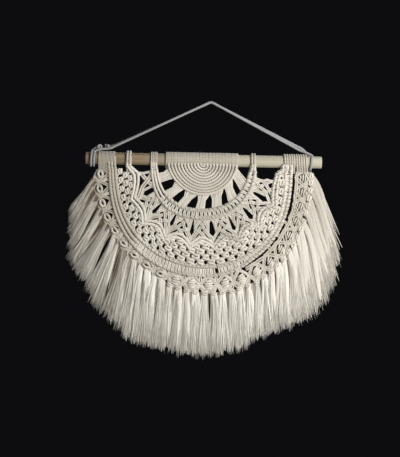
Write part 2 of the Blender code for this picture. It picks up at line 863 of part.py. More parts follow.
def add_material(name, colour, roughness):
    """A plain finish of one colour."""
    material = bpy.data.materials.new(name)
    material.use_nodes = True
    shader = material.node_tree.nodes["Principled BSDF"]
    shader.inputs["Base Color"].default_value = (*colour, 1.0)
    shader.inputs["Roughness"].default_value = roughness
    shader.inputs["Metallic"].default_value = 0.0
    return material


def main():
    for old in list(bpy.data.objects):
        bpy.data.objects.remove(old)

    cotton = add_material("cotton cord", (0.70, 0.64, 0.52), 0.9)
    combed = add_material("combed cotton", (0.76, 0.71, 0.60), 0.95)
    white = add_material("hanger cord", (0.66, 0.64, 0.60), 0.85)
    wood = add_material("dowel wood", (0.62, 0.47, 0.28), 0.6)

    rod = bpy.data.objects.new("rod_axis", None)
    rod.location = DOWEL_CENTRE
    rod.rotation_euler = (0.0, DOWEL_TILT, 0.0)
    bpy.context.collection.objects.link(rod)

    panel, rim = build_panel(cotton)
    hung = [panel, build_dowel(wood), build_fringe(rim, combed)]
    for name, (start, end) in WRAPS.items():
        hung.append(build_wraps(name, start, end, cotton))
    for piece in hung:
        piece.parent = rod

    build_hanger(white)
    build_knot("hanger_knot_end", KNOT_END, 0.5, white)
    build_knot("hanger_knot_side", KNOT_SIDE, -0.4, white)


main()
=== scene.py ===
"""A half-round macrame wall hanging on a wooden dowel, knotted cord by cord.

Metres, +Z up, in the part's own frame: the origin is the middle of the hanger cord's top bend, and the front
faces -Y. Places on the cloth are given by an angle at the dowel's axis, from its left side (0) through
straight down (90) to its right side (180 degrees), a radius, and a depth (-Y is towards the viewer).
"""

import math

import bpy
import numpy as np
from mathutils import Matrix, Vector


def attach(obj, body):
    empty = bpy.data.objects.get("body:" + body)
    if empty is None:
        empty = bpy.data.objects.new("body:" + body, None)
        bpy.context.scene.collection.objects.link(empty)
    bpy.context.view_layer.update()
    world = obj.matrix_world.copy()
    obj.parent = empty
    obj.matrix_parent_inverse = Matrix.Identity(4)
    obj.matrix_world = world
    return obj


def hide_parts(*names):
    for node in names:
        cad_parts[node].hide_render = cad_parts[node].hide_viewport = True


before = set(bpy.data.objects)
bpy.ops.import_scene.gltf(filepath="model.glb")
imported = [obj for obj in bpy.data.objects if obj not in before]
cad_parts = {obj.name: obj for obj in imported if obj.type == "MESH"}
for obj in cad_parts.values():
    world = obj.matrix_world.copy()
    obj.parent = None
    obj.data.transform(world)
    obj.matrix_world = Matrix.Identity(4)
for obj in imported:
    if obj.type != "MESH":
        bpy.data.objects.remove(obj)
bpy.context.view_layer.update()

# ---------------------------------------------------------------------------
# Camera. The photograph looks straight at the hanging. Its frame is 678 by 775 mm at the cloth, and its
# middle lies 19 mm left of the top of the hanger cord and 214 mm below it.
CAMERA_AWAY = 2.5
PICTURE_MIDDLE = (-0.0188, -0.2137)
PICTURE_HEIGHT = 0.7746

camera_data = bpy.data.cameras.new("camera")
camera_data.sensor_width = 36.0
camera_data.lens = camera_data.sensor_width * CAMERA_AWAY / PICTURE_HEIGHT
camera = bpy.data.objects.new("camera", camera_data)
camera.location = (PICTURE_MIDDLE[0], -CAMERA_AWAY, PICTURE_MIDDLE[1])
camera.rotation_euler = (math.radians(90.0), 0.0, 0.0)
bpy.context.collection.objects.link(camera)
bpy.context.scene.camera = camera

# ---------------------------------------------------------------------------
# Hanger. One braided white cotton cord, 4 mm thick, doubled at the top. Its bight is turned once round the
# dowel on the right; on the left one end winds twice round the dowel, and both end in a stopper knot.
DOWEL_CENTRE = np.array((-0.0146, 0.0, -0.0981))
DOWEL_TILT = math.radians(1.16)
DOWEL_RADIUS = 0.010
CORD = 0.004


def from_dowel(places):
    """Places given from the dowel's middle, along its axis, across it and up, tilted with it about Y."""
    places = np.asarray(places, dtype=float)
    x, y, z = places[..., 0], places[..., 1], places[..., 2]
    across = x * math.cos(DOWEL_TILT) + z * math.sin(DOWEL_TILT)
    up = z * math.cos(DOWEL_TILT) - x * math.sin(DOWEL_TILT)
    return np.stack((across, y, up), axis=-1) + DOWEL_CENTRE


def unit(vectors):
    """Vectors divided by their own length."""
    return vectors / np.maximum(np.linalg.norm(vectors, axis=-1, keepdims=True), 1e-12)


def smoothed(points, steps):
    """Smooth curves through rows of points. Between points b and c, with a before and d after, a curve is the
    cubic (2b + (c - a)t + (2a - 5b + 4c - d)tt + (3b - a - 3c + d)ttt) / 2, read at even steps of t."""
    points = np.asarray(points, dtype=float)
    count = points.shape[-2]
    ends = (points[..., :1, :], points, points[..., -1:, :])
    padded = np.concatenate(ends, axis=-2)
    a, b, c, d = (padded[..., k : k + count - 1, None, :] for k in range(4))
    t = (np.arange(steps) / steps)[:, None]
    curve = 2 * b + (c - a) * t + (2 * a - 5 * b + 4 * c - d) * t**2 + (3 * b - a - 3 * c + d) * t**3
    curve = curve.reshape(points.shape[:-2] + (-1, 3)) / 2
    return np.concatenate((curve, points[..., -1:, :]), axis=-2)


def evened(points, spacing):
    """One curve's points, read again at an even spacing along its length."""
    steps = np.linalg.norm(np.diff(points, axis=0), axis=1)
    along = np.concatenate(([0.0], np.cumsum(steps)))
    wanted = np.linspace(0.0, along[-1], max(2, round(along[-1] / spacing)) + 1)
    return np.stack([np.interp(wanted, along, points[:, k]) for k in range(3)], axis=-1)


def tubes(paths, radius, sides=6, relief=None, tint=0.5, nose=0.55):
    """Round cords along paths, an array of (cords, points, 3). Point k of ring n is the path's point plus the
    radius times cos(turn) of a normal and sin(turn) of a binormal, carried along without twist. A relief
    multiplies the radius by a function of (length along, turns round). Both ends close with a ring half as
    wide, that stands out by nose radii. The tint is the shade of each cord, or of each of its points."""
    paths = np.asarray(paths, dtype=float)
    if paths.ndim == 2:
        paths = paths[None]
    radius = np.broadcast_to(np.asarray(radius, dtype=float), paths.shape[:2]).copy()
    ahead = unit(paths[:, :1] - paths[:, 1:2])
    behind = unit(paths[:, -1:] - paths[:, -2:-1])
    first = paths[:, :1] + ahead * radius[:, :1, None] * nose
    last = paths[:, -1:] + behind * radius[:, -1:, None] * nose
    paths = np.concatenate((first, paths, last), axis=1)
    radius = np.concatenate((radius[:, :1] * 0.5, radius, radius[:, -1:] * 0.5), axis=1)
    cords, points, _ = paths.shape

    tangents = unit(np.gradient(paths, axis=1))
    seed = np.where(np.abs(tangents[:, 0, 1:2]) < 0.9, (0.0, 1.0, 0.0), (0.0, 0.0, 1.0))
    normals = np.empty_like(paths)
    for n in range(points):
        ahead = tangents[:, n]
        seed = unit(seed - ahead * np.sum(seed * ahead, axis=-1, keepdims=True))
        normals[:, n] = seed
    binormals = np.cross(tangents, normals)

    turn = np.arange(sides) / sides
    angle = 2 * np.pi * turn
    ring = normals[:, :, None] * np.cos(angle)[:, None] + binormals[:, :, None] * np.sin(angle)[:, None]
    lengths = np.linalg.norm(np.diff(paths, axis=1), axis=-1)
    along = np.concatenate((np.zeros((cords, 1)), np.cumsum(lengths, axis=1)), axis=1)
    sizes = radius[:, :, None] * np.ones(sides)
    if relief is not None:
        sizes = sizes * relief(along[:, :, None], turn)
    verts = paths[:, :, None] + ring * sizes[..., None]

    number = np.arange(cords * points * sides).reshape(cords, points, sides)
    beside = np.roll(number, -1, axis=2)
    quads = np.stack((number[:, :-1], beside[:, :-1], beside[:, 1:], number[:, 1:]), axis=-1)
    thick = 2 * radius.mean()
    u = np.broadcast_to(turn, quads.shape[:3])
    v = np.broadcast_to((along / thick)[:, :-1, None], quads.shape[:3])
    w = np.broadcast_to((along / thick)[:, 1:, None], quads.shape[:3])
    quad_uv = np.stack((u, v, u + 1 / sides, v, u + 1 / sides, w, u, w), axis=-1)
    caps = np.concatenate((number[:, 0, ::-1], number[:, -1]))
    cap_uv = np.zeros((len(caps), sides, 2))
    tint = np.atleast_1d(np.asarray(tint, dtype=float))
    if tint.ndim == 2:
        tint = np.concatenate((tint[:, :1], tint, tint[:, -1:]), axis=1)
    else:
        tint = tint[:, None]
    shades = np.broadcast_to(tint[..., None], (cords, points, sides))
    return {
        "verts": verts.reshape(-1, 3),
        "faces": [quads.reshape(-1, 4), caps],
        "uvs": [quad_uv.reshape(-1, 4, 2), cap_uv],
        "shades": shades.reshape(-1),
    }


def make_piece(name, shapes, finish, replaced):
    """One smooth piece from several shapes, with its UV map and its cords' shades, that rides the root."""
    mesh = bpy.data.meshes.new(name)
    start = 0
    corners, starts, uvs = [], [], []
    used = 0
    for shape in shapes:
        for faces, uv in zip(shape["faces"], shape["uvs"]):
            corners.append((faces + start).reshape(-1))
            starts.append(used + np.arange(len(faces)) * faces.shape[1])
            uvs.append(uv.reshape(-1))
            used += faces.size
        start += len(shape["verts"])
    corners, starts = np.concatenate(corners), np.concatenate(starts)
    mesh.vertices.add(start)
    mesh.vertices.foreach_set("co", np.concatenate([s["verts"] for s in shapes]).reshape(-1))
    mesh.loops.add(used)
    mesh.loops.foreach_set("vertex_index", corners.astype(np.int32))
    mesh.polygons.add(len(starts))
    mesh.polygons.foreach_set("loop_start", starts.astype(np.int32))
    mesh.uv_layers.new(name="UVMap").data.foreach_set("uv", np.concatenate(uvs))
    shade = mesh.attributes.new("shade", "FLOAT", "POINT")
    shade.data.foreach_set("value", np.concatenate([s["shades"] for s in shapes]))
    mesh.update(calc_edges=True)
    mesh.validate()
    mesh.shade_smooth()
    mesh.materials.append(finish)
    piece = bpy.data.objects.new(name, mesh)
    bpy.context.collection.objects.link(piece)
    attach(piece, "root")
    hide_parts(*replaced)
    return piece


class Socket:
    """One output of a shader node. Sums, differences, products and quotients of it add Math nodes."""

    def __init__(self, recipe, output):
        self.recipe = recipe
        self.output = output

    def math(self, operation, *values):
        return self.recipe.node("ShaderNodeMath", {"operation": operation}, *values)

    def __add__(self, other):
        return self.math("ADD", self, other)

    def __radd__(self, other):
        return self.math("ADD", other, self)

    def __sub__(self, other):
        return self.math("SUBTRACT", self, other)

    def __rsub__(self, other):
        return self.math("SUBTRACT", other, self)

    def __mul__(self, other):
        return self.math("MULTIPLY", self, other)

    def __rmul__(self, other):
        return self.math("MULTIPLY", other, self)

    def __truediv__(self, other):
        return self.math("DIVIDE", self, other)

    def wave(self):
        """Half of one plus the cosine of the value in whole turns."""
        return 0.5 + 0.5 * self.math("COSINE", self * (2 * math.pi))

    def clamped(self):
        return self.math("MINIMUM", self.math("MAXIMUM", self, 0.0), 1.0)


SPECULAR, SHEEN_ROUGHNESS = 0.25, 0.6


class Recipe:
    """A material's node tree, built up from expressions on Socket values."""

    def __init__(self, name, roughness, sheen=0.0):
        self.material = bpy.data.materials.new(name)
        self.material.use_nodes = True
        self.tree = self.material.node_tree
        self.shader = self.tree.nodes["Principled BSDF"]
        self.shader.inputs["Roughness"].default_value = roughness
        self.shader.inputs["Specular IOR Level"].default_value = SPECULAR
        self.shader.inputs["Sheen Weight"].default_value = sheen
        self.shader.inputs["Sheen Roughness"].default_value = SHEEN_ROUGHNESS

    def node(self, kind, settings, *values, output=0, **named):
        """Adds any node: its settings first, then its inputs in order or by name. Returns one output."""
        node = self.tree.nodes.new(kind)
        for key, value in settings.items():
            setattr(node, key, value)
        for key, value in [*enumerate(values), *((k.replace("_", " "), v) for k, v in named.items())]:
            if isinstance(value, Socket):
                self.tree.links.new(value.output, node.inputs[key])
            else:
                node.inputs[key].default_value = value
        return Socket(self, node.outputs[output])

    def object_place(self):
        return self.node("ShaderNodeTexCoord", {}, output="Object")

    def uv(self):
        """The two numbers of the piece's own UV map."""
        place = self.node("ShaderNodeUVMap", {"uv_map": "UVMap"})
        parts = self.node("ShaderNodeSeparateXYZ", {}, place)
        return parts, Socket(self, parts.output.node.outputs[1])

    def shade(self):
        return self.node("ShaderNodeAttribute", {"attribute_name": "shade"}, output="Fac")

    def noise(self, place, scale, detail=3.0):
        return self.node("ShaderNodeTexNoise", {}, Vector=place, Scale=scale, Detail=detail)

    def stretched(self, place, scale):
        """A vector multiplied by three numbers."""
        return self.node("ShaderNodeVectorMath", {"operation": "MULTIPLY"}, place, scale)

    def mixed(self, share, first, second):
        """A colour a share of the way from the first to the second."""
        node = self.tree.nodes.new("ShaderNodeMix")
        node.data_type = "RGBA"
        for key, value in (("Factor_Float", share), ("A_Color", first), ("B_Color", second)):
            target = next(i for i in node.inputs if i.identifier == key)
            if isinstance(value, Socket):
                self.tree.links.new(value.output, target)
            else:
                target.default_value = value
        return Socket(self, next(o for o in node.outputs if o.identifier == "Result_Color"))

    def finished(self, colour, height, depth):
        """Feeds the colour, and a bump of the height as deep as depth in metres, to the shader."""
        self.tree.links.new(colour.output, self.shader.inputs["Base Color"])
        bump = self.node("ShaderNodeBump", {}, Strength=1.0, Distance=depth, Height=height)
        self.tree.links.new(bump.output, self.shader.inputs["Normal"])
        return self.material


# how fine the fibres' noise is, and that of the slow drift of tone
FIBRES, DRIFT = 900.0, 14.0


def cord_finish(name, light, dark, plies, lay):
    """Twisted cotton of several plies, each turn lay diameters long, with the grooves between the plies
    bumped and darker with painted shade, fine fibres, and a slow drift of tone over the whole hanging."""
    recipe = Recipe(name, 0.92, sheen=0.25)
    turn, along = recipe.uv()
    place = recipe.object_place()
    # the ply wave bumps the cord and also darkens its colour in the grooves: painted shade
    ply = (turn * float(plies) + along * (plies / lay)).wave()
    fibre = recipe.noise(place, FIBRES, 2.0)
    drift = recipe.noise(place, DRIFT, 2.0)
    tone = (0.35 * recipe.shade() + 0.65 * drift + 0.35 * ply + 0.5 * fibre - 0.45).clamped()
    return recipe.finished(recipe.mixed(tone, dark, light), ply * 0.7 + fibre * 0.5, 0.0005)


WHITE_LIGHT = (0.345, 0.337, 0.330, 1.0)
WHITE_DARK = (0.195, 0.190, 0.185, 1.0)
CORD_SPACING = 0.0016
TURN_RADIUS = DOWEL_RADIUS + CORD / 2 + 0.0006
TURN_POINTS = 12
# each of the two strands lies this far behind or before their middle
HANGER_PAIR = np.array((0.0, 0.0023, 0.0))
BRAID_LAY, BRAID_DEPTH = 0.0030, 0.015
# the knots rest just above the wraps of the cloth, a little behind the dowel's crest
CLEAR = 0.0003
WRAP_CREST = DOWEL_RADIUS + CLEAR + CORD
KNOT_RADIUS = 0.0050
KNOT_BEHIND = 0.0040
KNOT_UP = math.sqrt((WRAP_CREST + CLEAR + KNOT_RADIUS) ** 2 - KNOT_BEHIND**2)
KNOT_END = from_dowel((-0.1752, KNOT_BEHIND, KNOT_UP))
KNOT_SIDE = from_dowel((-0.1612, KNOT_BEHIND, KNOT_UP))
# places on the cord's way; a turn is its start along the dowel, its pitch and its first and last angle
HANGER_TOP = np.array(((-0.006, 0.0, -0.0020), (0.0, 0.0, 0.0), (0.006, 0.0, -0.0024)))
RIGHT_FOOT = from_dowel((0.1660, 0.0, 0.0215))
RIGHT_SPLIT = np.array((0.0010, 0.0, 0.0018)) + 0.3 * HANGER_PAIR
RIGHT_BEHIND = (0.1745, 0.0032, 0.0172)
RIGHT_BEFORE = (0.1738, -0.0032, 0.0168)
RIGHT_TURN = (0.1800, 0.0062, -0.5, -0.5 - 2 * math.pi * 0.84)
LEFT_BEFORE = ((-0.1560, -0.0046, 0.0172), (-0.1722, -0.0050, 0.0150))
LEFT_TURN = (-0.1822, -0.0048, 0.45, 0.45 + 2 * math.pi * 1.8)
SIDE_EXIT = np.array(((0.0052, 0.0, 0.0010), (0.0152, -0.0006, 0.0046)))
END_EXIT = np.array(((-0.0115, 0.0035, -0.0045), (-0.0055, 0.0008, -0.0004)))


def dowel_turns(start_x, pitch, first, last):
    """Points of a cord wound round the dowel between two angles, from its top over the front."""
    count = round(abs(last - first) / (2 * math.pi) * TURN_POINTS)
    turn = np.linspace(first, last, count + 1)
    x = start_x + pitch * np.abs(turn - first) / (2 * math.pi)
    return from_dowel(np.stack((x, -TURN_RADIUS * np.sin(turn), TURN_RADIUS * np.cos(turn)), axis=-1))


def taut(start, end):
    """Places on the straight line between two, close to its ends and between them."""
    share = np.array((0.06, 0.35, 0.65, 0.94))[:, None]
    return np.asarray(start) * (1 - share) + np.asarray(end) * share


top_behind, top_before = HANGER_TOP + HANGER_PAIR, (HANGER_TOP - HANGER_PAIR)[::-1]
left_before = from_dowel(LEFT_BEFORE)
hanger_route = np.concatenate((
    KNOT_SIDE + SIDE_EXIT,
    taut(KNOT_SIDE + SIDE_EXIT[-1], top_behind[0]),
    top_behind,
    taut(top_behind[-1], RIGHT_FOOT + RIGHT_SPLIT),
    [RIGHT_FOOT + RIGHT_SPLIT, from_dowel(RIGHT_BEHIND)],
    dowel_turns(*RIGHT_TURN),
    [from_dowel(RIGHT_BEFORE), RIGHT_FOOT - RIGHT_SPLIT],
    taut(RIGHT_FOOT - RIGHT_SPLIT, top_before[0]),
    top_before,
    taut(top_before[-1], left_before[0]),
    left_before,
    dowel_turns(*LEFT_TURN),
    KNOT_END + END_EXIT,
))
hanger_line = evened(smoothed(hanger_route, 12), CORD_SPACING)


def braid(along, turn):
    """Low ridges of the round braid: two sets of strands that cross, as the product of their cosines."""
    first, second = along / BRAID_LAY + 2 * turn, along / BRAID_LAY - 2 * turn
    return 1 - BRAID_DEPTH + BRAID_DEPTH * np.cos(2 * np.pi * first) * np.cos(2 * np.pi * second)


KNOT_TURN = 0.0032
KNOT_CORD = 0.0018
STOPPER_KNOTS = (
    # piece, node of the frame, middle, from there to the cord and to the tail, tilt about Z
    ("hanger_end_knot", "hanger_knot_end",
     KNOT_END, (-0.0052, 0.0008, -0.0008), (-0.0016, 0.0026, 0.0034), 0.25),
    ("hanger_side_knot", "hanger_knot_side",
     KNOT_SIDE, (0.0052, 0.0, 0.0010), (-0.0042, 0.0006, 0.0040), -0.9),
)


def stopper_knot(centre, towards, tail, tilt):
    """A stopper knot's cord: one and a half turns (R cos t, 1.6 mm - 0.42 mm t, 0.92 R sin t) round its
    middle, tilted about Z, with one end drawn out to the cord and the other through the ring to a tail."""
    t = np.linspace(-0.4, 3 * np.pi - 0.2, 22)
    ring = np.stack((KNOT_TURN * np.cos(t), 0.0016 - 0.00042 * t, KNOT_TURN * 0.92 * np.sin(t)), axis=-1)
    cosine, sine = np.cos(tilt), np.sin(tilt)
    ring = ring @ np.array(((cosine, sine, 0.0), (-sine, cosine, 0.0), (0.0, 0.0, 1.0)))
    through = [centre + (0.0, 0.0012, 0.0004), centre + tail]
    return smoothed(np.concatenate(([centre + towards], centre + ring, through)), 3)


white_cord = cord_finish("braided white cord", WHITE_LIGHT, WHITE_DARK, 4, 3.0)
hanger_shape = tubes(hanger_line, CORD / 2, 10, braid)
hanger = make_piece("hanger", [hanger_shape], white_cord, ["hanger_cord"])
for name, node, centre, towards, tail, tilt in STOPPER_KNOTS:
    knot_shape = tubes(stopper_knot(centre, towards, tail, tilt), KNOT_CORD, 8, braid)
    make_piece(name, [knot_shape], white_cord, [node])

# ---------------------------------------------------------------------------
# Dowel. A 20 mm round softwood stick, 400 mm long, its ends sawn off and lightly rounded. It is browner and
# streakier at the left, paler at the right, and drops a little to the right.
DOWEL_LEFT, DOWEL_RIGHT = -0.198, 0.202
DOWEL_EDGE = 0.0012
# each end closes with a ring this wide
DOWEL_FLAT = 0.005
BROWN_WOOD = ((0.10, 0.065, 0.035, 1.0), (0.30, 0.235, 0.150, 1.0))
STRAW_WOOD = ((0.315, 0.29, 0.210, 1.0), (0.445, 0.425, 0.34, 1.0))
WOOD_STREAK = (0.20, 0.145, 0.085, 1.0)

edge_turn = np.linspace(0.0, np.pi / 2, 5)
left_edge = DOWEL_LEFT + DOWEL_EDGE * (1 - np.sin(edge_turn))[::-1]
right_edge = DOWEL_RIGHT - DOWEL_EDGE * (1 - np.sin(edge_turn))
edge_radius = DOWEL_RADIUS - DOWEL_EDGE * (1 - np.cos(edge_turn))[::-1]
shaft = np.linspace(left_edge[-1], right_edge[0], 80)[1:-1]
dowel_x = np.concatenate(([DOWEL_LEFT], left_edge, shaft, right_edge, [DOWEL_RIGHT]))
shaft_radius = np.full(len(shaft), DOWEL_RADIUS)
dowel_radius = np.concatenate(([DOWEL_FLAT], edge_radius, shaft_radius, edge_radius[::-1], [DOWEL_FLAT]))
dowel_line = from_dowel(np.stack((dowel_x, 0 * dowel_x, 0 * dowel_x), axis=-1))

# long grain and finer streaks along the dowel, brown left of x = -0.13 and straw right of x = 0.03
wood = Recipe("softwood", 0.62)
place = wood.object_place()
grain = wood.noise(wood.stretched(place, (9.0, 260.0, 260.0)), 1.0, 4.0)
streak = wood.noise(wood.stretched(place, (26.0, 900.0, 900.0)), 1.0, 3.0)
blotch = wood.noise(place, 22.0, 2.0)
across = wood.node("ShaderNodeSeparateXYZ", {}, place)
paleness = ((across + 0.13) / 0.16 + (blotch - 0.5) * 0.8).clamped()
brown = wood.mixed((grain * 1.6 - 0.3).clamped(), *BROWN_WOOD)
straw = wood.mixed((grain * 1.4 - 0.2).clamped(), *STRAW_WOOD)
plain_wood = wood.mixed(paleness, brown, straw)
streaked_wood = wood.mixed((streak * 2.2 - 0.75).clamped() * 0.35, plain_wood, WOOD_STREAK)
wood_finish = wood.finished(streaked_wood, grain + streak * 0.6, 0.0003)
make_piece("dowel_stick", [tubes(dowel_line, dowel_radius, 48, nose=0.0)], wood_finish, ["dowel"])

# ---------------------------------------------------------------------------
# Wraps. Wherever the cloth is tied on, its cotton cords come up in front of the dowel, go over it and down
# behind. The middle group is fifty cords wide; at the right the cords lean, and part at a slit.
rng = np.random.default_rng(20)
COTTON_LIGHT = (0.70, 0.66, 0.58, 1.0)
COTTON_DARK = (0.372, 0.333, 0.266, 1.0)
cotton = cord_finish("twisted cotton cord", COTTON_LIGHT, COTTON_DARK, 3, 3.4)
WRAP_TURN = np.radians(np.linspace(118.0, -150.0, 16))
WRAP_BACK = -0.012
# left of this x the wraps are darker still: painted shade of the hanging's dim left side
PAINTED_SHADE_LEFT_OF = -0.14
SLIT_X = 0.1563
WRAP_GROUPS = (
    # name, first and last cord, how many, radius, lean, lower end in front, how far they part at the slit
    ("wraps_border_left", -0.1748, -0.1492, 12, 0.00122, 0.0, -0.0240, 0.0),
    ("wraps_scallop_left", -0.1272, -0.1220, 2, 0.0022, 0.0, -0.0240, 0.0),
    ("wraps_band_left", -0.0864, -0.0776, 4, 0.0015, 0.0, -0.0240, 0.0),
    ("wraps_disc", -0.0609, 0.0593, 50, 0.00160, 0.0, -0.0150, 0.0),
    ("wraps_band_right", 0.0834, 0.0876, 2, 0.0020, 0.0008, -0.0200, 0.0),
    ("wraps_border_right", 0.1386, 0.1742, 10, 0.0019, 0.0022, -0.0190, 0.0012),
)


def over_dowel(x, thick, lean, front, parted):
    """Cords over the dowel: up in front, round the top in even turns, and down behind. At turn t the place is
    (x + lean t / pi, -R sin t, R cos t). Below the dowel, the cords at the slit part to its two sides."""

    def spots(across, depth, up):
        """One place or more of every cord."""
        return np.stack(np.broadcast_arrays(across, depth, up), axis=-1)

    aside = np.sign(x - SLIT_X)[:, None] * parted
    x = x[:, None]
    radius = DOWEL_RADIUS + thick
    below = spots(x + lean * 0.8 + aside, 0.0012, front)
    bend = spots(x + lean * 0.74 + aside * 0.8, -0.0054, front * 0.58)
    around = spots(x + lean * (WRAP_TURN / np.pi), -radius * np.sin(WRAP_TURN), radius * np.cos(WRAP_TURN))
    behind = spots(x - lean, 0.0020, WRAP_BACK)
    # painted shade: the wraps' colour is darker than the rest of the cloth, and darker still at the left
    tint = rng.uniform(-1.0, -0.6, len(x)) - 1.3 * (x[:, 0] < PAINTED_SHADE_LEFT_OF)
    return tubes(from_dowel(np.concatenate((below, bend, around, behind), axis=1)), thick, 8, tint=tint)


for name, first, last, count, thick, lean, front, parted in WRAP_GROUPS:
    x = np.linspace(first, last, count) + rng.normal(0.0, 0.00012, count)
    wraps = over_dowel(x, thick, lean, front, parted)
    make_piece("cords_" + name, [wraps], cotton, [name])

# ---------------------------------------------------------------------------
# Half disc. Cords knotted in close rows of hitches, each row a wide U that hangs from the dowel. The rows lie
# about 5 mm apart and touch; the little dark dots between them are the knots' own eyes.
FACE = -0.0006
DISC_HALF, DISC_DEEP = 0.0600, 0.0520
DISC_TOP = -0.0080
DISC_ROWS = 11
DISC_CORD = 0.00238
# at both its ends a row turns up to the dowel: across, back and up from the end, the furthest first
DISC_ENDS = np.array(((0.0, 0.0022, 0.0125), (0.0, 0.0004, 0.0085), (0.0, 0.0, 0.0040)))


def ramp(value, start, width):
    """How far a value is on its way from start over width, from 0 to 1. A negative width runs downwards."""
    return np.clip((value - start) / width, 0.0, 1.0)


def at(angle, radius, depth=0.0):
    """Place on the cloth at an angle in radians, a radius and a depth, as (-r cos, depth, -r sin)."""
    angle, radius, depth = np.broadcast_arrays(angle, radius, depth)
    return from_dowel(np.stack((-radius * np.cos(angle), depth, -radius * np.sin(angle)), axis=-1))


def hitched(pitch, depth, lean=1.0):
    """Relief of a row of hitches: 1 - depth (cos^6 of twice the phase, halved, + cos^12 of the phase). The
    phase is pi times the place along in pitches, less the lean times the turn."""

    def relief(along, turn):
        phase = np.pi * (along / pitch - lean * turn)
        return 1 - depth * (0.5 * np.abs(np.cos(2 * phase)) ** 6 + np.abs(np.cos(phase)) ** 12)

    return relief


# at sweep t of row r, from 0 to 1, the place is (-60 r cos t + 2 sin t, depth, -8 - 52 r sin^1.22 t) mm
rows = (np.arange(DISC_ROWS)[:, None] + 0.5) / DISC_ROWS
sweep = np.linspace(0.03, np.pi - 0.03, 72)
row_x = -DISC_HALF * rows * np.cos(sweep) + 0.0020 * np.sin(sweep)
row_z = DISC_TOP - DISC_DEEP * rows * np.sin(sweep) ** 1.22
row_depth = FACE - 0.0010 * np.sin(sweep) - 0.0092 * ramp(row_z, -0.0215, 0.0140) ** 1.5
row_places = np.stack((row_x, row_depth, row_z), axis=-1)
row_parts = (row_places[:, :1] + DISC_ENDS, row_places, row_places[:, -1:] + DISC_ENDS[::-1])
row_relief = hitched(pitch=0.0047, depth=0.15)
row_shapes = [
    tubes(from_dowel(evened(line, 0.0006)), DISC_CORD, 8, row_relief, tint=rng.uniform(-0.35, 0.35))
    for line in np.concatenate(row_parts, axis=1)
]
make_piece("half_disc", row_shapes, cotton, ["panel"])

# ---------------------------------------------------------------------------
# Spokes. Seven flat bundles of fine cords run slanting from the half disc's rim to the inner band. Each is
# pinched in its middle, so the gaps between them are pear-shaped.
SPOKE_RADII = (0.059, 0.068, 0.080)
SPOKES = (
    # left edge and right edge, in degrees, at those three distances from the dowel's axis
    ((13.0, 17.8, 17.0), (33.0, 30.5, 29.0)),
    ((38.5, 43.0, 40.5), (58.5, 54.5, 52.5)),
    ((61.0, 64.0, 61.5), (83.0, 75.5, 72.0)),
    ((83.0, 84.8, 83.0), (103.5, 95.5, 94.0)),
    ((103.5, 105.0, 102.5), (128.5, 119.0, 115.0)),
    ((129.0, 127.0, 123.0), (149.5, 139.8, 136.0)),
    ((150.5, 147.0, 142.5), (169.0, 163.0, 158.0)),
)
SPOKE_CORDS = 8
SPOKE_CORD = 0.00118
UNDER_DISC = 0.058

spoke_size = np.linspace(0.0520, 0.0850, 15)
edges = np.radians([[np.interp(spoke_size, SPOKE_RADII, edge) for edge in spoke] for spoke in SPOKES])
share = ((np.arange(SPOKE_CORDS) + 0.5) / SPOKE_CORDS)[:, None]
spoke_angles = (edges[:, :1] * (1 - share) + edges[:, 1:] * share).reshape(-1, len(spoke_size))
count = len(spoke_angles)
spoke_depth = FACE + rng.normal(0.0, 0.0003, (count, 1)) + 0.0012 * (spoke_size < UNDER_DISC)
wander = np.sin(np.linspace(0.0, np.pi, len(spoke_size)))
spoke_angles = spoke_angles + rng.normal(0.0, 0.004, (count, 1)) * wander
spoke_places = at(spoke_angles, spoke_size, spoke_depth)
spoke_cords = tubes(spoke_places, SPOKE_CORD, 6, tint=rng.uniform(0.7, 1.5, count))
make_piece("spokes", [spoke_cords], cotton, ["panel"])

# ---------------------------------------------------------------------------
# Inner band. Two rows of hitches with a row of short upright stitches between them. Its left end is three
# smooth cords side by side instead.
RINGS = {
    # radius at the left, lower left, bottom, lower right and right
    "inner_band_in": (0.0765, 0.0830, 0.0830, 0.0845, 0.0810),
    "inner_band_out": (0.0870, 0.1000, 0.1000, 0.1000, 0.0920),
    "scallop_top": (0.1200, 0.1270, 0.1290, 0.1290, 0.1250),
    "outer_band_in": (0.1460, 0.1645, 0.1780, 0.1680, 0.1400),
    "outer_band_out": (0.1590, 0.1830, 0.1980, 0.1840, 0.1580),
    "border_out": (0.1860, 0.2000, 0.2270, 0.2150, 0.1870),
}
TOP_LINE = 0.0150
TO_VIEWER = (0.0, -1.0, 0.0)
# the cords at the left end higher and nearer the dowel: how far up it, and how far before it
LEFT_TOP = (0.002, -0.0098)
# the places s of a short cord across a line, and how closely a row of hitches and its core are measured out
ACROSS = np.array((-1.0, -0.6, 0.0, 0.6, 1.0))
STEP, LONG_STEP = 0.0003, 0.003
SPACING = 0.0012


def ring_radius(name, angle):
    """A ring's radius at an angle: the cosine series c0/2 + c1 cos a + c2 cos 2a + c3 cos 3a + c4/2 cos 4a
    through its five radii, where ck is half the sum of radius j times cos(pi j k / 4), the ends halved."""
    shares = np.array((0.5, 1.0, 1.0, 1.0, 0.5))
    k = np.arange(5)
    terms = np.cos(np.pi * np.outer(k, k) / 4) @ (shares * RINGS[name]) / 2 * shares
    return np.cos(np.asarray(angle)[..., None] * k) @ terms


def between(inner, outer, share):
    """Radius curve that lies a share of the way from one ring to another."""
    return lambda angle: ring_radius(inner, angle) * (1 - share) + ring_radius(outer, angle) * share


def cloth_ends(radius):
    """The two angles where a radius curve meets the cloth's top line, found by asin(top / r) a few times."""
    left, right = np.array(0.1), np.array(np.pi - 0.1)
    for _ in range(12):
        left = np.arcsin(TOP_LINE / radius(left))
        right = np.pi - np.arcsin(TOP_LINE / radius(right))
    return float(left), float(right)


def laid(radius, first, last, depth=FACE, spacing=SPACING):
    """A cord's places along a radius curve between two angles, evenly spaced."""
    angle = np.linspace(first, last, 160)
    return evened(at(angle, radius(angle), depth), spacing)


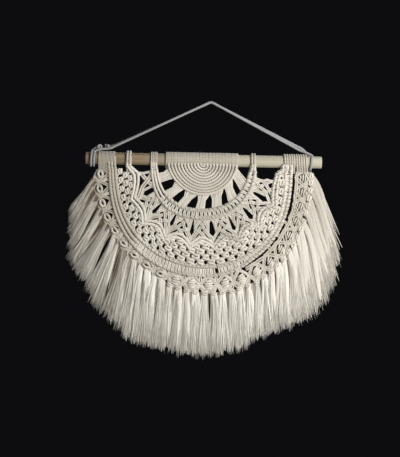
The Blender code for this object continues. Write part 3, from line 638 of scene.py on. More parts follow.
def stitches(radius, angles, reach, lean, rise, thick, depth=FACE):
    """Short cords across a line of the cloth. A stitch's place at s from -1 to 1 is the radius plus reach s,
    the angle plus lean s / radius, and the depth less rise (1 - s s), so that it stands out in its middle."""
    angles = np.asarray(angles)[:, None]
    size = radius(angles)
    shift = rng.normal(0.0, 0.00022, (len(angles), 1))
    round_depth = depth - rise * (1 - ACROSS**2) + shift
    places = at(angles + (lean * ACROSS + shift) / size, size + reach * ACROSS, round_depth)
    return tubes(smoothed(places, 2), thick, 6, tint=rng.uniform(0.3, 1.3, len(angles)))


def paces(radius, first, last, pitch, pair=0.0):
    """Angles along a radius curve that lie a pitch apart. With a pair they come in twos, that far apart."""
    angle = np.linspace(first, last, 400)
    length = np.linalg.norm(np.diff(at(angle, radius(angle)), axis=0), axis=1)
    along = np.concatenate(([0.0], np.cumsum(length)))
    count = max(1, int(along[-1] / pitch))
    wanted = (np.arange(count) + 0.5) * along[-1] / count
    if pair:
        wanted = (wanted[:, None] + np.array((-0.5, 0.5)) * pair).reshape(-1)
    return np.interp(wanted, along, angle)


def onto_dowel(places, x, top=-0.0050, depth=-0.0108):
    """A cord's places and the last stretch of it, that rises in front of the dowel at x."""
    rise = ((x, depth * 0.62, -0.0125), (x, depth * 0.9, -0.0085), (x, depth, top))
    return np.concatenate((places, from_dowel(rise)))


def hitch_row(path, thick, pitch, lean):
    """A row of hitches along any path: a hidden cord, and wraps round it in leaning threes. A wrap's place at
    s from -1 to 1 is the path's plus reach s sideways, lean s along it and rise (1 - s s) out of it."""
    # the hidden core is painted darker, as the shade seen in the gaps between the wraps
    core = tubes(evened(path, LONG_STEP), thick * 0.6, 6, tint=-0.6)
    fine = evened(path, STEP)
    ahead = unit(np.gradient(fine, axis=0))
    count = max(1, int(len(fine) * STEP / pitch))
    middle = (np.arange(count) + 0.5) / count * (len(fine) - 1)
    middle = middle + rng.normal(0.0, 0.9, count)
    three = (middle[:, None] + np.array((-0.275, 0.0, 0.275)) * pitch / STEP).reshape(-1)
    which = np.clip(np.round(three + rng.normal(0.0, 0.4, len(three))).astype(int), 0, len(fine) - 1)
    centre, ahead = fine[which][:, None], ahead[which][:, None]
    side = unit(np.cross(ahead, TO_VIEWER))
    out = np.cross(side, ahead)
    out = out * -np.sign(out[..., 1:2])
    s = ACROSS[:, None]
    places = centre + side * thick * 1.05 * s + ahead * lean * s + out * (thick * 1.15 * (1 - s**2) - 0.0003)
    return [core, tubes(smoothed(places, 2), pitch * 0.150, 6, tint=rng.uniform(0.2, 1.3, len(which)))]


def hitches_to_dowel(radius, first, last, depth, x, thick):
    """A row of hitches along a radius curve, that rises in front of the dowel at x, at its right end."""
    line = laid(radius, first, last, depth)
    return hitch_row(smoothed(onto_dowel(line[::4], x), 4), thick, pitch=0.0068, lean=0.0014)


def smooth_to_dowel(radius, first, last, x):
    """Places of a smooth cord along a radius curve, that rise in front of the dowel at x, at its left end."""
    line = laid(radius, first, last, FACE - 0.0012)
    return evened(smoothed(onto_dowel(line[::4], x, *LEFT_TOP), 4), SPACING)


def in_inner_band(share):
    """Radius curve at a share of the way across the inner band."""
    return between("inner_band_in", "inner_band_out", share)


# where the smooth cords at the left meet the hitches
BAND_TURN = math.radians(43.0)
BAND_CORD = 0.0022
band_left, band_right = cloth_ends(in_inner_band(0.5))
band_shapes = []
for share, top_x in ((0.14, 0.0838), (0.86, 0.0876)):
    ends = (BAND_TURN, band_right - 0.05)
    band_shapes += hitches_to_dowel(in_inner_band(share), *ends, FACE - 0.0009, top_x, thick=0.0027)
middle_line = in_inner_band(0.5)
band_angles = paces(middle_line, BAND_TURN, band_right - 0.1, pitch=0.0070, pair=0.0027)
band_shapes.append(stitches(middle_line, band_angles, reach=0.0048, lean=0.0003, rise=0.0004, thick=0.0015))
for share, top_x in ((0.12, -0.0782), (0.50, -0.0820), (0.88, -0.0858)):
    line = smooth_to_dowel(in_inner_band(share), BAND_TURN + 0.06, band_left + 0.04, top_x)
    relief = hitched(pitch=0.0066, depth=0.06)
    band_shapes.append(tubes(line, BAND_CORD, 8, relief, tint=rng.uniform(0.3, 0.9)))
make_piece("inner_band", band_shapes, cotton, ["panel"])

# ---------------------------------------------------------------------------
# Fans. Nine lattices of crossing cords spread from the inner band to the scallops, with small dark diamonds
# between the cords and a pear-shaped slot between each two fans.
FAN_CORD, FIRST_FAN_CORD, FAN_EDGE_CORD = 0.0014, 0.0018, 0.00125
FAN_EDGE_APART = 0.0022
OVER = 0.0013
FAN_ENDS = np.radians((12.5, 31.5, 47.7, 65.0, 82.6, 98.9, 116.0, 131.7, 148.9, 165.0))
ARCH_ENDS = np.radians((-2.0, 30.0, 47.7, 65.0, 82.6, 98.9, 116.0, 131.7, 148.9, 178.0))
ARCH_FEET = np.array((1.0, 0.40, 0.9, 1.0, 1.0, 1.0, 1.0, 1.0, 1.0, 1.0))
FIRST_ARCH_UP = 0.0110
SCALLOP_DEPTH, SCALLOP_WIDTH = 0.0135, 0.010
BESIDE_SLOT = 0.0016
SLOTS = np.array((
    # start and end from the dowel's axis, and half width there, for the edges of the fans in turn
    (0.200, 0.201, 0.0010, 0.0010), (0.0975, 0.1160, 0.0044, 0.0048), (0.1010, 0.1240, 0.0018, 0.0042),
    (0.0995, 0.1240, 0.0016, 0.0038), (0.1020, 0.1280, 0.0013, 0.0042), (0.1050, 0.1290, 0.0028, 0.0060),
    (0.1060, 0.1310, 0.0015, 0.0042), (0.1080, 0.1310, 0.0028, 0.0050), (0.1030, 0.1290, 0.0026, 0.0056),
    (0.0960, 0.1120, 0.0030, 0.0040),
))


def arch_place(angle):
    """Where an angle lies in its scallop, from -1 at a foot to 1 at the next, and the nearer foot's depth."""
    which = np.clip(np.searchsorted(ARCH_ENDS, angle) - 1, 0, len(ARCH_ENDS) - 2)
    start, end = ARCH_ENDS[which], ARCH_ENDS[which + 1]
    place = (2 * angle - start - end) / (end - start)
    return place, ARCH_FEET[which + (place > 0)]


def scallop(share):
    """Radius curve of the scallops: their tops' ring, plus the depth times the square of the place in the
    arch, plus a share of the width. The first arch reaches further in."""

    def radius(angle):
        top = ring_radius("scallop_top", angle)
        room = ring_radius("outer_band_in", angle) - top
        depth, width = np.minimum(SCALLOP_DEPTH, 0.40 * room), np.minimum(SCALLOP_WIDTH, 0.45 * room)
        place, foot = arch_place(angle)
        square = place**2
        further_in = FIRST_ARCH_UP * (1 - square) * (angle < ARCH_ENDS[1])
        return top + depth * foot * square - further_in + width * share

    return radius


def slot_half(number, radius):
    """Half width of a slot at a radius: nothing outside it, straight from its start to its end."""
    start, end, narrow, wide = SLOTS[number]
    return np.interp(radius, (start - 0.004, start, end - 0.003, end + 0.0015), (0.0, narrow, wide, 0.0))


def in_fan(number, place, share):
    """Angle and radius at a place across one fan, -1 to 1 between its slots' edges, and at a share of the way
    out from the inner band to the scallop."""
    first, last = FAN_ENDS[number], FAN_ENDS[number + 1]
    angle = (first + last) / 2 + place * (last - first) / 2
    inner, outer = ring_radius("inner_band_out", angle), scallop(0.0)(angle)
    radius = inner + (outer - inner) * share
    left_edge, right_edge = slot_half(number, radius), -slot_half(number + 1, radius)
    edge = np.where(place < 0, left_edge, right_edge) + np.where(place < 0, 1, -1) * BESIDE_SLOT
    return angle + np.abs(place) * edge / radius, radius


def twin_cords(angle, radius, depth, apart, thick):
    """Two cords side by side along places given by angle, radius and depth, smoothed."""
    middle = smoothed(at(angle, radius, depth), 4)
    aside = unit(np.cross(np.gradient(middle, axis=0), TO_VIEWER))
    sides = zip((-1, 1), rng.uniform(0.0, 1.0, 2))
    return [tubes(middle + aside * side * apart / 2, thick, 6, tint=tint) for side, tint in sides]


FAN_CORDS = (
    # places across the fan, at the shares below; each cord crosses the others over and under
    (0.15, -0.42, -0.95, -0.50, 0.0, 0.48),
    (-0.15, 0.42, 0.95, 0.50, 0.0, -0.48),
    (-0.90, -0.42, 0.06, 0.50, 0.98, 1.0),
    (0.90, 0.42, -0.06, -0.50, -0.98, -1.0),
)
FAN_SHARES = np.array((-0.08, 0.14, 0.38, 0.62, 0.86, 1.10))
fan_shapes = []
for number in range(len(FAN_ENDS) - 1):
    for k, places in enumerate(FAN_CORDS[2:] if number == 0 else FAN_CORDS):
        places = np.array(places) + rng.normal(0.0, 0.03, 6)
        over = np.array((1, -1, 1, -1, 1, -1)) * (1 if k % 2 else -1)
        thick = FIRST_FAN_CORD if number == 0 else FAN_CORD
        fan_shapes += twin_cords(*in_fan(number, places, FAN_SHARES), FACE + OVER * over, 2 * thick, thick)
    for side in (-1.0, 1.0):
        share = np.linspace(-0.05, 1.05, 12)
        edge = in_fan(number, side + 0 * share, share)
        fan_shapes += twin_cords(*edge, FACE + 0.0004, FAN_EDGE_APART, FAN_EDGE_CORD)
make_piece("fans", fan_shapes, cotton, ["panel"])

# ---------------------------------------------------------------------------
# Scallops. Arches round the fans, whose feet meet at the slots: on the left two thick smooth cords side by
# side, on the right two rows of leaning hitches.
SMOOTH_ARCHES = 5
SCALLOP_CORD = 0.0026

scallop_shapes = []
scallop_left, scallop_right = cloth_ends(scallop(0.5))
arch_ends = list(zip([scallop_left + 0.07, *ARCH_ENDS[1:-1]], [*ARCH_ENDS[1:-1], scallop_right - 0.03]))
for number, (first, last) in enumerate(arch_ends):
    for share, top_left, top_right in ((0.20, -0.1222, 0.1362), (0.86, -0.1270, 0.1406)):
        places = laid(scallop(share), first + 1e-4, last - 1e-4, FACE - 0.0016, 0.0009)
        if number == 0:
            places = smoothed(onto_dowel(places[::-4], top_left, *LEFT_TOP), 4)
        if number == len(arch_ends) - 1:
            places = smoothed(onto_dowel(places[::4], top_right), 4)
        if number < SMOOTH_ARCHES:
            relief = hitched(pitch=0.0070, depth=0.04)
            scallop_shapes.append(tubes(places, SCALLOP_CORD, 10, relief, tint=rng.uniform(0.6, 1.1)))
        else:
            scallop_shapes += hitch_row(places, thick=0.0025, pitch=0.0060, lean=0.0020)
make_piece("scallops", scallop_shapes, cotton, ["panel"])

# ---------------------------------------------------------------------------
# Net. Five rows of square knots, each row half a step on from the last, with the bare cords crossing between
# them, so that a small gap stays between each four knots.
NET_ENDS = (math.radians(9.0), math.radians(171.0))
NET_COLUMNS = 28
NET_ROWS = 5
NET_ROW = 0.0085
NET_TOP_LINE = 0.0215
NET_CORD, NET_APART = 0.00165, 0.0031
# a knot's cords: across and along the cloth and behind its face, in millimetres
FILLER_CORD = 0.001 * np.array(((-1.5, -4.8, 0.4), (-1.6, 0.0, 1.0), (-1.5, 4.8, 0.4)))
RIGHT_CORD = 0.001 * np.array((
    (-4.2, -4.8, 0.5), (-3.6, -3.0, -1.2), (0.0, -2.2, -2.9), (3.5, -1.6, -1.8), (4.5, 0.0, -0.5),
    (3.5, 1.6, -1.8), (0.0, 2.2, -2.9), (-3.6, 3.0, -1.2), (-4.2, 4.8, 0.5),
))
LEFT_CORD = 0.001 * np.array((
    (4.2, -4.8, 0.5), (3.6, -3.2, 1.5), (0.0, -2.3, 2.6), (-3.4, -1.8, 1.0), (-4.6, -0.9, -1.4),
    (-4.8, 0.0, -2.4), (-4.6, 0.9, -1.4), (-3.4, 1.8, 1.0), (0.0, 2.3, 2.6), (3.6, 3.2, 1.5), (4.2, 4.8, 0.5),
))


def square_knots(angle, radius, size=1.0, thick=0.00175, depth=FACE):
    """Square knots: two cords tied in turn round two straight ones. A cord's place is the knot's middle plus
    its template's numbers times the ways across, along and out of the cloth."""
    middle = at(angle, radius, depth)[:, None]
    along = unit(at(angle, radius + 0.01) - at(angle, radius))[:, None]
    across = np.cross(along, TO_VIEWER)
    many = (len(angle), 1, 1)
    size = size * rng.uniform(0.92, 1.10, many)
    hand = np.where(rng.uniform(size=many) < 0.5, -1.0, 1.0)
    shapes = []
    for cord in (RIGHT_CORD, LEFT_CORD, FILLER_CORD, FILLER_CORD * (-1.0, 1.0, 1.0)):
        part = cord[None] * size + rng.normal(0.0, 0.00012, (len(angle),) + cord.shape)
        places = middle + across * part[..., :1] * hand + along * part[..., 1:2] - part[..., 2:] * TO_VIEWER
        tint = rng.uniform(0.5, 1.4, len(angle))
        shapes.append(tubes(smoothed(places, 2), thick * size[:, :, 0], 6, tint=tint))
    return shapes


def links(start, end, apart, thick, bow=0.0, painted_shade_and_tone=0.0):
    """Pairs of cords from place to place, apart side by side and bowed sideways in their middle."""
    aside = np.cross(unit(end - start), TO_VIEWER)[:, None]
    share = np.linspace(0.0, 1.0, 6)[None, :, None]
    hump = np.sin(np.pi * share)
    many = (len(start), 1, 1)
    shapes = []
    for side in (-0.5, 0.5):
        bend = hump * (bow + rng.normal(0.0, 0.0004, many))
        drop = rng.normal(0.0, 0.0003, many) * hump * TO_VIEWER
        line = start[:, None] * (1 - share) + end[:, None] * share + aside * (side * apart + bend) - drop
        # each pair's colour is lowered by the painted shade it is given
        shapes.append(tubes(line, thick, 6, tint=rng.uniform(0.0, 1.0, len(start)) - painted_shade_and_tone))
    return shapes


# the first and last row hold no knots: they are where the cords leave the outer band and reach the scallops
net_angle, net_row = np.meshgrid(np.linspace(*NET_ENDS, 2 * NET_COLUMNS + 1), np.arange(NET_ROWS + 2))
net_radius = ring_radius("outer_band_in", net_angle) - (net_row - 0.35) * NET_ROW
net_knot = (np.arange(2 * NET_COLUMNS + 1) + net_row) % 2 == 1
net_inside = (net_radius > scallop(0.9)(net_angle)) & (net_radius * np.sin(net_angle) > NET_TOP_LINE)
tied = net_knot & net_inside & (net_row > 0) & (net_row <= NET_ROWS)
net_shift = rng.normal(0.0, 0.0004, (2, tied.sum()))
net_size = 1.04 - 0.20 * ramp(np.degrees(net_angle[tied]), 62.0, -22.0)[:, None, None]
net_shapes = square_knots(net_angle[tied] + net_shift[0] / 0.15, net_radius[tied] + net_shift[1], net_size)
net_places = at(net_angle, np.maximum(net_radius, scallop(0.75)(net_angle)), FACE)
linked = (net_knot & net_inside)[:-1, 1:-1]
for step in (-1, 1):
    beside = np.roll(net_places, -step, axis=1)
    start, end = net_places[:-1, 1:-1][linked], beside[1:, 1:-1][linked]
    net_shapes += links(start, end, NET_APART, NET_CORD)
make_piece("net", net_shapes, cotton, ["panel"])

# ---------------------------------------------------------------------------
# Outer band. Like the inner one: two rows of hitches, fine upright stitches between them, and at the left
# three smooth cords that run along it. At the right it is two thirds as wide.
OUTER_TURN = math.radians(50.0)
# no stitch lies within 0.9 degrees of this angle
STITCH_GAP = 98.5


def band_narrow(angle):
    """The outer band's width at an angle, as a share: one up to 105 degrees, then down to 0.66."""
    return 1 - 0.34 * ramp(np.degrees(angle), 105.0, 14.0)


def in_outer_band(share):
    """Radius curve at a share of the way across the outer band."""

    def radius(angle):
        inner, outer = ring_radius("outer_band_in", angle), ring_radius("outer_band_out", angle)
        return inner * (1 - share * band_narrow(angle)) + outer * share * band_narrow(angle)

    return radius


outer_left, outer_right = cloth_ends(in_outer_band(0.5))
outer_shapes = []
for share, top_x in ((0.12, 0.1434), (0.88, 0.1500)):
    ends = (OUTER_TURN, outer_right - 0.02)
    outer_shapes += hitches_to_dowel(in_outer_band(share), *ends, FACE - 0.0010, top_x, thick=0.0025)
middle_line = in_outer_band(0.5)
stitch_angles = paces(middle_line, OUTER_TURN, outer_right, pitch=0.0060, pair=0.0026)
stitch_angles = stitch_angles[np.abs(np.degrees(stitch_angles) - STITCH_GAP) > 0.9]
stitch_reach = 0.0062 * band_narrow(stitch_angles)[:, None]
stitch_shape = stitches(middle_line, stitch_angles, stitch_reach, lean=0.0004, rise=0.0004, thick=0.00158)
outer_shapes.append(stitch_shape)
for share, top_x in ((0.12, -0.1480), (0.50, -0.1531), (0.88, -0.1582)):
    line = smooth_to_dowel(in_outer_band(share), OUTER_TURN + 0.05, outer_left + 0.02, top_x)
    to_dowel = np.arange(len(line))[::-1] * SPACING
    thick = np.interp(to_dowel, (0.004, 0.034), (0.0021, 0.0030))[None]
    relief = hitched(pitch=0.0070, depth=0.09)
    # the smooth cords at the left are painted darker: painted shade of the hanging's dim left side
    outer_shapes.append(tubes(line, thick, 8, relief, tint=rng.uniform(-1.3, -0.6)))
make_piece("outer_band", outer_shapes, cotton, ["panel"])

# ---------------------------------------------------------------------------
# Border. Twenty-two fat knots: rings with a slit on the left, and on the right four short bars one under
# another. Pairs of cords cross between them and run on to the roots of the fringe. On the right the border
# hangs off the band a little, tied to it by three pairs of cords.
BORDER_KNOTS = 22
RING_KNOTS = 9
RING_WIDE, RING_HIGH, RING_CORD = 0.0058, 0.0036, 0.0024
BAR_PLACES = (-0.0060, -0.0020, 0.0020, 0.0060)
BAR_HALF, BAR_LONGER, BAR_SHORTER = 0.0052, 0.0012, 0.0018
BAR_CORD, THIN_BAR_CORD = 0.00190, 0.00142
THICK_BARS_TO = 118.0
LINK_APART, ROOT_APART, TIE_APART = 0.0030, 0.0029, 0.0036
ROOT_CORD, TIE_CORD, EDGE_CORD = 0.0015, 0.0014, 0.0017
EDGE_FROM = math.radians(113.0)
TIES_AT, TIES_WITHIN = 138.0, 13.0
# angles, in degrees, and the share of the way across the border where its knots' middles lie there
KNOT_LINE = (
    (5.0, 16.0, 31.0, 42.0, 60.0, 100.0, 118.0, 180.0),
    (0.45, 0.70, 0.76, 0.62, 0.46, 0.43, 0.50, 0.52),
)


def in_border(angle, share):
    """Radius at an angle and a share of the way across the border."""
    return ring_radius("outer_band_out", angle) * (1 - share) + ring_radius("border_out", angle) * share


def on_border(angle, share, depth=FACE):
    """Places at angles and shares of the way across the border."""
    return at(angle, in_border(angle, share), depth)


def border_middle(angle):
    """The share of the way across the border where its knots' middles lie."""
    return np.interp(np.degrees(angle), *KNOT_LINE)


def swell(value, middle, width):
    """A bell curve: e to the power of minus the square of the way from the middle in widths."""
    return np.exp(-(((value - middle) / width) ** 2))


def hanging_off(angle):
    """How far out, as a share of the border, its inner edge lies: a little and unevenly from 103 degrees on,
    and most at 152 degrees."""
    degrees = np.degrees(angle)
    uneven = 0.012 * np.sin(degrees * 0.62) + 0.012 * np.sin(degrees * 1.13)
    return (0.05 + uneven) * ramp(degrees, 103.0, 16.0) + 0.06 * swell(degrees, 152.0, 11.0)


border_left, border_right = cloth_ends(lambda angle: in_border(angle, 0.5))
border_step = (border_right - border_left) / BORDER_KNOTS
knot = np.arange(BORDER_KNOTS)
knot_angles = border_left + (knot + 0.5) * border_step
cross_angles = border_left + np.arange(BORDER_KNOTS + 1) * border_step

# rings: at turn t the place is (wide cos t, high sin t) from the knot's middle, and deeper at both sides
ring_angles = knot_angles[:RING_KNOTS, None]
turn = np.linspace(0.0, 2 * np.pi, 25)
ring_radii = in_border(ring_angles, border_middle(ring_angles))
ring_turned = ring_angles + RING_WIDE * np.cos(turn) / ring_radii
ring_depth = FACE - 0.0026 + 0.0008 * np.cos(2 * turn)
ring_places = at(ring_turned, ring_radii + RING_HIGH * np.sin(turn), ring_depth)
ring_tint = rng.uniform(-0.4, 0.5, RING_KNOTS)
border_shapes = [tubes(ring_places, RING_CORD, 8, hitched(pitch=0.0052, depth=0.16), tint=ring_tint)]

# bars: at s from -1 to 1 the place is half s along the border, less lean s across it, and (1 - s s)^0.7 out
bar_angles = np.repeat(knot_angles[RING_KNOTS:], len(BAR_PLACES))[:, None]
bar_degrees = np.degrees(bar_angles)
bar_shift = np.tile(BAR_PLACES, BORDER_KNOTS - RING_KNOTS)[:, None]
bar_shift = bar_shift * rng.uniform(0.92, 1.06, bar_shift.shape)
bar_thick = bar_degrees < THICK_BARS_TO
bar_outermost = np.abs(bar_shift) > 0.004
s = np.linspace(-1.0, 1.0, 7)
bar_radius = in_border(bar_angles, border_middle(bar_angles) + 0.01)
bar_half = BAR_HALF + BAR_LONGER * bar_thick - BAR_SHORTER * bar_outermost
bar_lean = 0.0022 * swell(bar_degrees, 125.0, 18.0) + 0.0004
bar_depth = FACE - 0.0026 * (1 - s**2) ** 0.7
bar_places = at(bar_angles + bar_half * s / bar_radius, bar_radius + bar_shift - bar_lean * s, bar_depth)
# the bars are painted darker towards the right: painted shade
bar_tint = rng.uniform(0.6, 1.3, len(bar_angles)) - 0.8 * ramp(bar_degrees[:, 0], 125.0, 20.0)
bar_cord = np.where(bar_thick, BAR_CORD, THIN_BAR_CORD)
border_shapes.append(tubes(bar_places, bar_cord, 8, tint=bar_tint))

# pairs of cords: thinner towards both sides of the hanging, and darker there with painted shade
link_painted_shade = 0.05 + 1.05 * ramp(knot, RING_KNOTS, -4.0) + 0.75 * ramp(knot, 12.0, 4.0)
link_cord = (0.0021 - 0.0006 * ramp(knot, RING_KNOTS, -2.0) - 0.00055 * ramp(knot, 11.0, 4.0))[:, None]
inner_cross = on_border(cross_angles, border_middle(cross_angles))
tops = on_border(knot_angles, -0.02 + hanging_off(knot_angles))
bottoms = on_border(knot_angles, np.maximum(0.80, border_middle(knot_angles) + 0.32))
for first, side, kept in ((inner_cross[:-1], -1.0, slice(1, None)), (inner_cross[1:], 1.0, slice(None))):
    border_shapes += links(first, tops, LINK_APART, link_cord, side * 0.0006, link_painted_shade)
    border_shapes += links(first, bottoms, LINK_APART, link_cord, -side * 0.0006, link_painted_shade)
    ends = on_border(knot_angles + side * border_step / 4, 0.98)
    border_shapes += links(first[kept], ends[kept], ROOT_APART, ROOT_CORD, 0.0, link_painted_shade[kept])
    border_shapes += links(bottoms[kept], ends[kept], ROOT_APART, ROOT_CORD, 0.0, link_painted_shade[kept])

# the border's own edge where it hangs off the band, the cords that hold it to the band, and the roots
for share in (-0.01, 0.10):
    line = laid(lambda angle: in_border(angle, hanging_off(angle) + share), EDGE_FROM, border_right)
    border_shapes.append(tubes(line, EDGE_CORD, 6, hitched(pitch=0.0052, depth=0.10), tint=-0.2))
held = hanging_off(cross_angles) < 0.01
border_shapes += links(on_border(cross_angles, -0.04)[held], inner_cross[held], ROOT_APART, ROOT_CORD)
tied_on = cross_angles[np.abs(np.degrees(cross_angles) - TIES_AT) < TIES_WITHIN]
band_edge = at(tied_on, in_outer_band(0.95)(tied_on), FACE + 0.0008)
border_edge = on_border(tied_on, hanging_off(tied_on) + 0.05, FACE + 0.0008)
# the cords that tie the border on are painted darker: painted shade
border_shapes += links(band_edge, border_edge, TIE_APART, TIE_CORD, painted_shade_and_tone=0.6)
root_angles = border_left + (np.arange(2 * RING_KNOTS, 2 * BORDER_KNOTS) + 0.5) * border_step / 2
border_shapes += square_knots(root_angles, in_border(root_angles, 0.93), size=0.82, depth=FACE - 0.0006)
make_piece("border", border_shapes, cotton, ["panel"])

# ---------------------------------------------------------------------------
# Fringe. The cotton cords' ends, cut long and combed out: forty-three soft tassels, narrow where they leave
# the border and spread at their feathery tips. Each is two combed bodies with loose clumps and single
# threads over them, strands inside painted dark as shade between the tassels, and a pale layer of clumps at
# the back.
TASSELS = 43
FRINGE = np.array((
    # angle, lean outwards (left positive), length
    (0.0, 33.0, 0.072), (12.0, 36.5, 0.076), (20.0, 32.0, 0.092), (27.0, 33.0, 0.099), (33.0, 34.0, 0.103),
    (41.0, 24.5, 0.105), (48.0, 16.5, 0.118), (56.0, 11.3, 0.127), (64.0, 4.6, 0.123), (69.0, 3.0, 0.121),
    (77.0, 3.0, 0.114), (90.0, 0.8, 0.108), (103.0, -2.0, 0.103), (112.0, -2.8, 0.098), (121.0, -1.8, 0.1025),
    (129.0, -2.8, 0.116), (137.0, -5.6, 0.127), (143.0, -9.6, 0.140), (150.0, -13.0, 0.150),
    (155.0, -15.4, 0.149), (160.0, -17.3, 0.142), (170.0, -18.5, 0.128), (180.0, -20.5, 0.117),
))
# at this angle the tassels part, and those within so many degrees of it open from their roots
FRINGE_GAP, GAP_NEAR = 153.5, 4.0
RIM_SIZE = 0.21
# the dark end lies well below the cotton's own colour, and is reached mostly by painted shade
COMBED_DARK = (0.12, 0.0875, 0.05, 1.0)
COMBED_LIGHT = (0.79, 0.755, 0.675, 1.0)

# streaks along every strand, weaker towards the right, on the strand's own shade and a slow drift of tone
combed = Recipe("combed cotton", 1.0, sheen=0.1)
turn, along = combed.uv()
strand_place = combed.node("ShaderNodeCombineXYZ", {}, turn * 46.0, along * 0.5, combed.shade() * 7.0)
to_right = combed.node("ShaderNodeSeparateXYZ", {}, combed.object_place())
lively = 1.0 - 0.75 * ((to_right - 0.09) * 12.0).clamped()
strand = 0.5 + (combed.noise(strand_place, 1.0, 2.0) - 0.5) * lively
drift = combed.noise(combed.object_place(), DRIFT, 2.0)
tone = ((0.6 * combed.shade() + 0.4 * drift + 0.5 * strand + 0.3) / 1.5).clamped()
fringe_finish = combed.finished(combed.mixed(tone, COMBED_DARK, COMBED_LIGHT), strand, 0.0004)

# each tassel's own values: its angle, how far it lies to the left and to the right, its length and turn, how
# far it leans to its neighbour, how wide its root is, how far it opens, and its painted shade and random tone
rng = np.random.default_rng(5)
rim_left, rim_right = cloth_ends(lambda angle: ring_radius("border_out", angle))
tassel = np.arange(TASSELS)
even_angle = rim_left + (rim_right - rim_left) * (tassel + 1.5) / (TASSELS + 1)
tassel_step = (rim_right - rim_left) / (TASSELS + 1)
past_gap = np.degrees(even_angle) - FRINGE_GAP
tassel_angle = even_angle + np.radians(0.9) * np.sign(past_gap) * swell(past_gap, 0.0, 5.0)
tassel_degrees = np.degrees(tassel_angle)
leftness, rightness = ramp(tassel_degrees, 68.0, -20.0), ramp(tassel_degrees, 125.0, 20.0)
tassel_long = rng.normal(1.0, 0.028, TASSELS)
tassel_turn = rng.normal(0.0, 1.2, TASSELS)
tassel_aside = (0.0031 + 0.0005 * leftness - 0.0013 * rightness) * rng.uniform(0.5 * leftness, 1.3, TASSELS)
tassel_aside = tassel_aside + 0.0021 * rightness * (tassel % 4 % 3 == 0)
tassel_aside = tassel_aside * np.where(tassel % 2, -1, 1)
tassel_root = rng.uniform(0.45, 1.05, TASSELS) - 0.36 * leftness - 0.12 * rightness
tassel_root = np.where(np.abs(past_gap) < GAP_NEAR, 0.8, np.clip(tassel_root, 0.26, 1.0))
tassel_full = np.where(np.abs(past_gap) < GAP_NEAR, 0.8, 1 - 0.32 * leftness + 0.12 * rightness)
# painted shade: tassels darker towards the left and towards the right side, and a random tone for each
tassel_painted_shade_and_tone = 0.74 * ramp(tassel_degrees, 64.0, -30.0) + 0.30 * ramp(tassel_degrees, 148.0, 22.0)
tassel_painted_shade_and_tone = tassel_painted_shade_and_tone + 0.60 * rightness - 0.02
tassel_painted_shade_and_tone = tassel_painted_shade_and_tone + rng.uniform(-0.20, 0.20, TASSELS) * (1 - 0.8 * rightness)


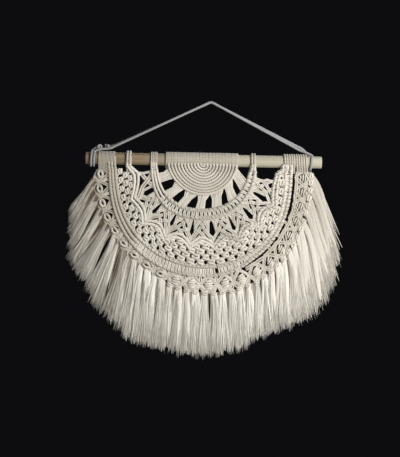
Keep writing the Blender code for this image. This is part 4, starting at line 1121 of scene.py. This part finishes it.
def tassel_strands(some, clumps, each, thick, sides, points, spread, reach, loose,
                   lift=0.0, behind=0.0, dark=0.0, relief=None):
    """Strands of some tassels, a few to each clump. A strand starts near its tassel's root and runs s of its
    length along its own lean, moves aside by 1 - (1 - s)^1.35 of its clump's place in the tassel, bulges
    forward by the root of 1 - place^2, sways a little and thins towards its tip. Tassels lean in pairs. The
    strands may lie behind the others. Dark ones carry painted shade, darkest at their roots, by 1 - s^2."""
    shape = (len(some), clumps)
    own = (tassel_angle, rightness, tassel_long, tassel_turn, tassel_aside)
    angle, right, long, turn, pair = (values[some][:, None] for values in own)
    own = (tassel_root, tassel_full, tassel_painted_shade_and_tone, past_gap)
    wide, full, painted_shade_and_tone, gap = (values[some][:, None] for values in own)
    calm = 1 - 0.85 * right
    aside = (np.arange(clumps) + 0.5) / clumps * 2 - 1
    aside = aside + rng.uniform(-0.7, 0.7, shape) / clumps * min(1.0, loose * 3)
    front = rng.uniform(-0.5, 1.0, shape) * calm if loose else 0.0
    long = rng.uniform(0.93, 1.03, shape) * long
    sway = rng.normal(0.0, 0.0016, shape)
    turn = rng.normal(0.0, 1.0, shape) * calm + turn
    tone = 0.63 + rng.uniform(-0.14, 0.14, shape) * calm - painted_shade_and_tone
    # painted shade at the dark strands' roots, less at the right
    deep = dark * (1 - 0.65 * right * (np.abs(gap) > GAP_NEAR))
    wide = 1.3 if dark else wide
    values = np.broadcast_arrays(angle, aside, front, long, sway, turn, tone, deep, pair, full, wide)
    values = (np.repeat(value.reshape(-1), each) for value in values)
    angle, aside, front, long, sway, turn, tone, deep, pair, full, wide = values

    total = len(angle)
    aside = aside + rng.normal(0.0, loose, total) / clumps * 2
    degrees = np.degrees(angle + aside * tassel_step * 0.5)
    lean = np.radians(np.interp(degrees, FRINGE[:, 0], FRINGE[:, 1]) + turn + rng.normal(0.0, 0.8, total))
    length = np.interp(degrees, FRINGE[:, 0], FRINGE[:, 2]) * long * rng.uniform(*reach, total)
    root = angle + aside * (0.0006 + 0.0042 * wide) / RIM_SIZE
    round_depth = np.sqrt(np.clip(1 - aside**2, 0.0, 1.0))
    start_depth = -0.0004 - 0.0014 * front * round_depth + behind
    start = at(root, ring_radius("border_out", root) - 0.0030, start_depth)[:, None]
    down = np.stack((-np.sin(lean), 0 * lean, -np.cos(lean)), axis=-1)[:, None]
    sideways = np.stack((-np.cos(lean), 0 * lean, np.sin(lean)), axis=-1)[:, None]
    outward = unit(at(root, 0.3) - at(root, 0.2))[:, None]

    s = np.linspace(0.0, 1.0, points)
    first_way = (0.32 * (1 - s) ** 3)[:, None]
    places = start + (outward * first_way + down * (1 - first_way)) * (length[:, None] * s)[..., None]
    opening = (aside * full)[:, None] * spread * (1 - (1 - s) ** 1.35)
    swaying = sway[:, None] * np.sin(s * 5.0) * s
    pairing = pair[:, None] * np.sin(np.minimum(s * 3.0, 1.57)) * (1 - 0.7 * s * s)
    places = places - sideways * (opening - swaying + pairing)[..., None]
    rising = np.sin(np.minimum(s * 2.4, 1.57)) * (1 - 0.3 * s)
    forward = (front * round_depth * 0.0032 + lift)[:, None] * rising
    forward = forward + rng.normal(0.0, 0.0005, (total, 1)) * s
    places = places + forward[..., None] * TO_VIEWER
    taper = thick * (1 - 0.75 * s**4) * (wide[:, None] + (1 - wide[:, None]) * np.minimum(s * 2.8, 1))
    # paler along each strand by 0.48 s^2: partly painted shade towards the crowded roots, partly the paler
    # frayed tips
    tone = (tone + rng.normal(0.0, 0.05, total))[:, None] + 0.48 * s**2 - deep[:, None] * (1 - s**2)
    return tubes(places, taper * rng.uniform(0.85, 1.15, (total, 1)), sides, relief, tint=tone)


def combed_body(along, turn):
    """Relief of a flat combed body: less deep than wide, with two sets of ridges that wander along it."""
    ridges = np.cos(2 * np.pi * (7 * turn + 6.0 * along))
    ridges = ridges + 0.7 * np.cos(2 * np.pi * (4 * turn - 9.0 * along + 0.3))
    return (0.62 + 0.38 * np.sin(2 * np.pi * turn) ** 2) * (1 + 0.045 * ridges)


# clumps in a tassel, strands in a clump, radius, sides, points, spread, shortest and longest, how loose
BODIES = (2, 1, 0.0040, 20, 13, 0.0052, (0.86, 0.92), 0.0)
LOOSE_CLUMPS = (7, 2, 0.00105, 5, 8, 0.0064, (0.90, 1.0), 0.3)
THREADS = (9, 17, 0.00038, 3, 8, 0.0070, (0.82, 1.03), 0.55)
# strands inside each tassel painted dark: painted shade between the tassels' roots
PAINTED_SHADE_STRANDS = (6, 2, 0.00135, 4, 6, 0.0056, (0.90, 1.0), 0.3)
BACK_CLUMPS = (7, 2, 0.00140, 4, 5, 0.0068, (0.90, 1.0), 0.3)
for number, some in enumerate(np.array_split(tassel, 4)):
    shapes = [
        tassel_strands(some, *BODIES, relief=combed_body),
        tassel_strands(some, *LOOSE_CLUMPS, lift=0.0004),
        tassel_strands(some, *THREADS, lift=0.0010),
        tassel_strands(some, *PAINTED_SHADE_STRANDS, behind=0.0014, dark=1.2),
        tassel_strands(some, *BACK_CLUMPS, behind=0.0040),
    ]
    make_piece(f"fringe_{number + 1}", shapes, fringe_finish, ["fringe"])

# ---------------------------------------------------------------------------
# Floor and light. A plain pale floor well below the hanging, a soft lamp from the front right, a weak one
# from the front and one for the back, and next to no light from all round.
FLOOR_UP = -0.78
FLOOR_CORNERS = ((-3, -1.5, FLOOR_UP), (3, -1.5, FLOOR_UP), (3, 1.0, FLOOR_UP), (-3, 1.0, FLOOR_UP))
FLOOR_DARK, FLOOR_LIGHT = (0.55, 0.54, 0.52, 1.0), (0.60, 0.59, 0.57, 1.0)
LAMPS = (
    # name, place, size, power
    ("key", (0.62, -0.86, 0.02), 0.50, 18.4),
    ("fill", (0.1, -1.9, 0.1), 1.2, 3.5),
    ("back", (0.3, 1.6, 0.5), 1.0, 26.0),
)
LAMPS_AIM = Vector((-0.02, 0.0, -0.22))
ALL_ROUND = (0.004, 0.004, 0.005, 1.0)

floor_mesh = bpy.data.meshes.new("floor")
floor_mesh.from_pydata(FLOOR_CORNERS, [], [(0, 1, 2, 3)])
floor = bpy.data.objects.new("floor", floor_mesh)
bpy.context.collection.objects.link(floor)
floor_recipe = Recipe("pale floor", 0.8)
speck = floor_recipe.noise(floor_recipe.object_place(), 6.0)
floor_colour = floor_recipe.mixed(speck, FLOOR_DARK, FLOOR_LIGHT)
floor_mesh.materials.append(floor_recipe.finished(floor_colour, speck, 0.0002))

for name, place, size, power in LAMPS:
    lamp = bpy.data.lights.new(name, "AREA")
    lamp.size = size
    lamp.energy = power
    lamp_object = bpy.data.objects.new(name, lamp)
    lamp_object.location = place
    lamp_object.rotation_euler = (LAMPS_AIM - Vector(place)).to_track_quat("-Z", "Y").to_euler()
    bpy.context.collection.objects.link(lamp_object)

world = bpy.data.worlds.new("all round")
world.use_nodes = True
world.node_tree.nodes["Background"].inputs["Color"].default_value = ALL_ROUND
bpy.context.scene.world = world
bpy.context.scene.view_settings.view_transform = "Standard"
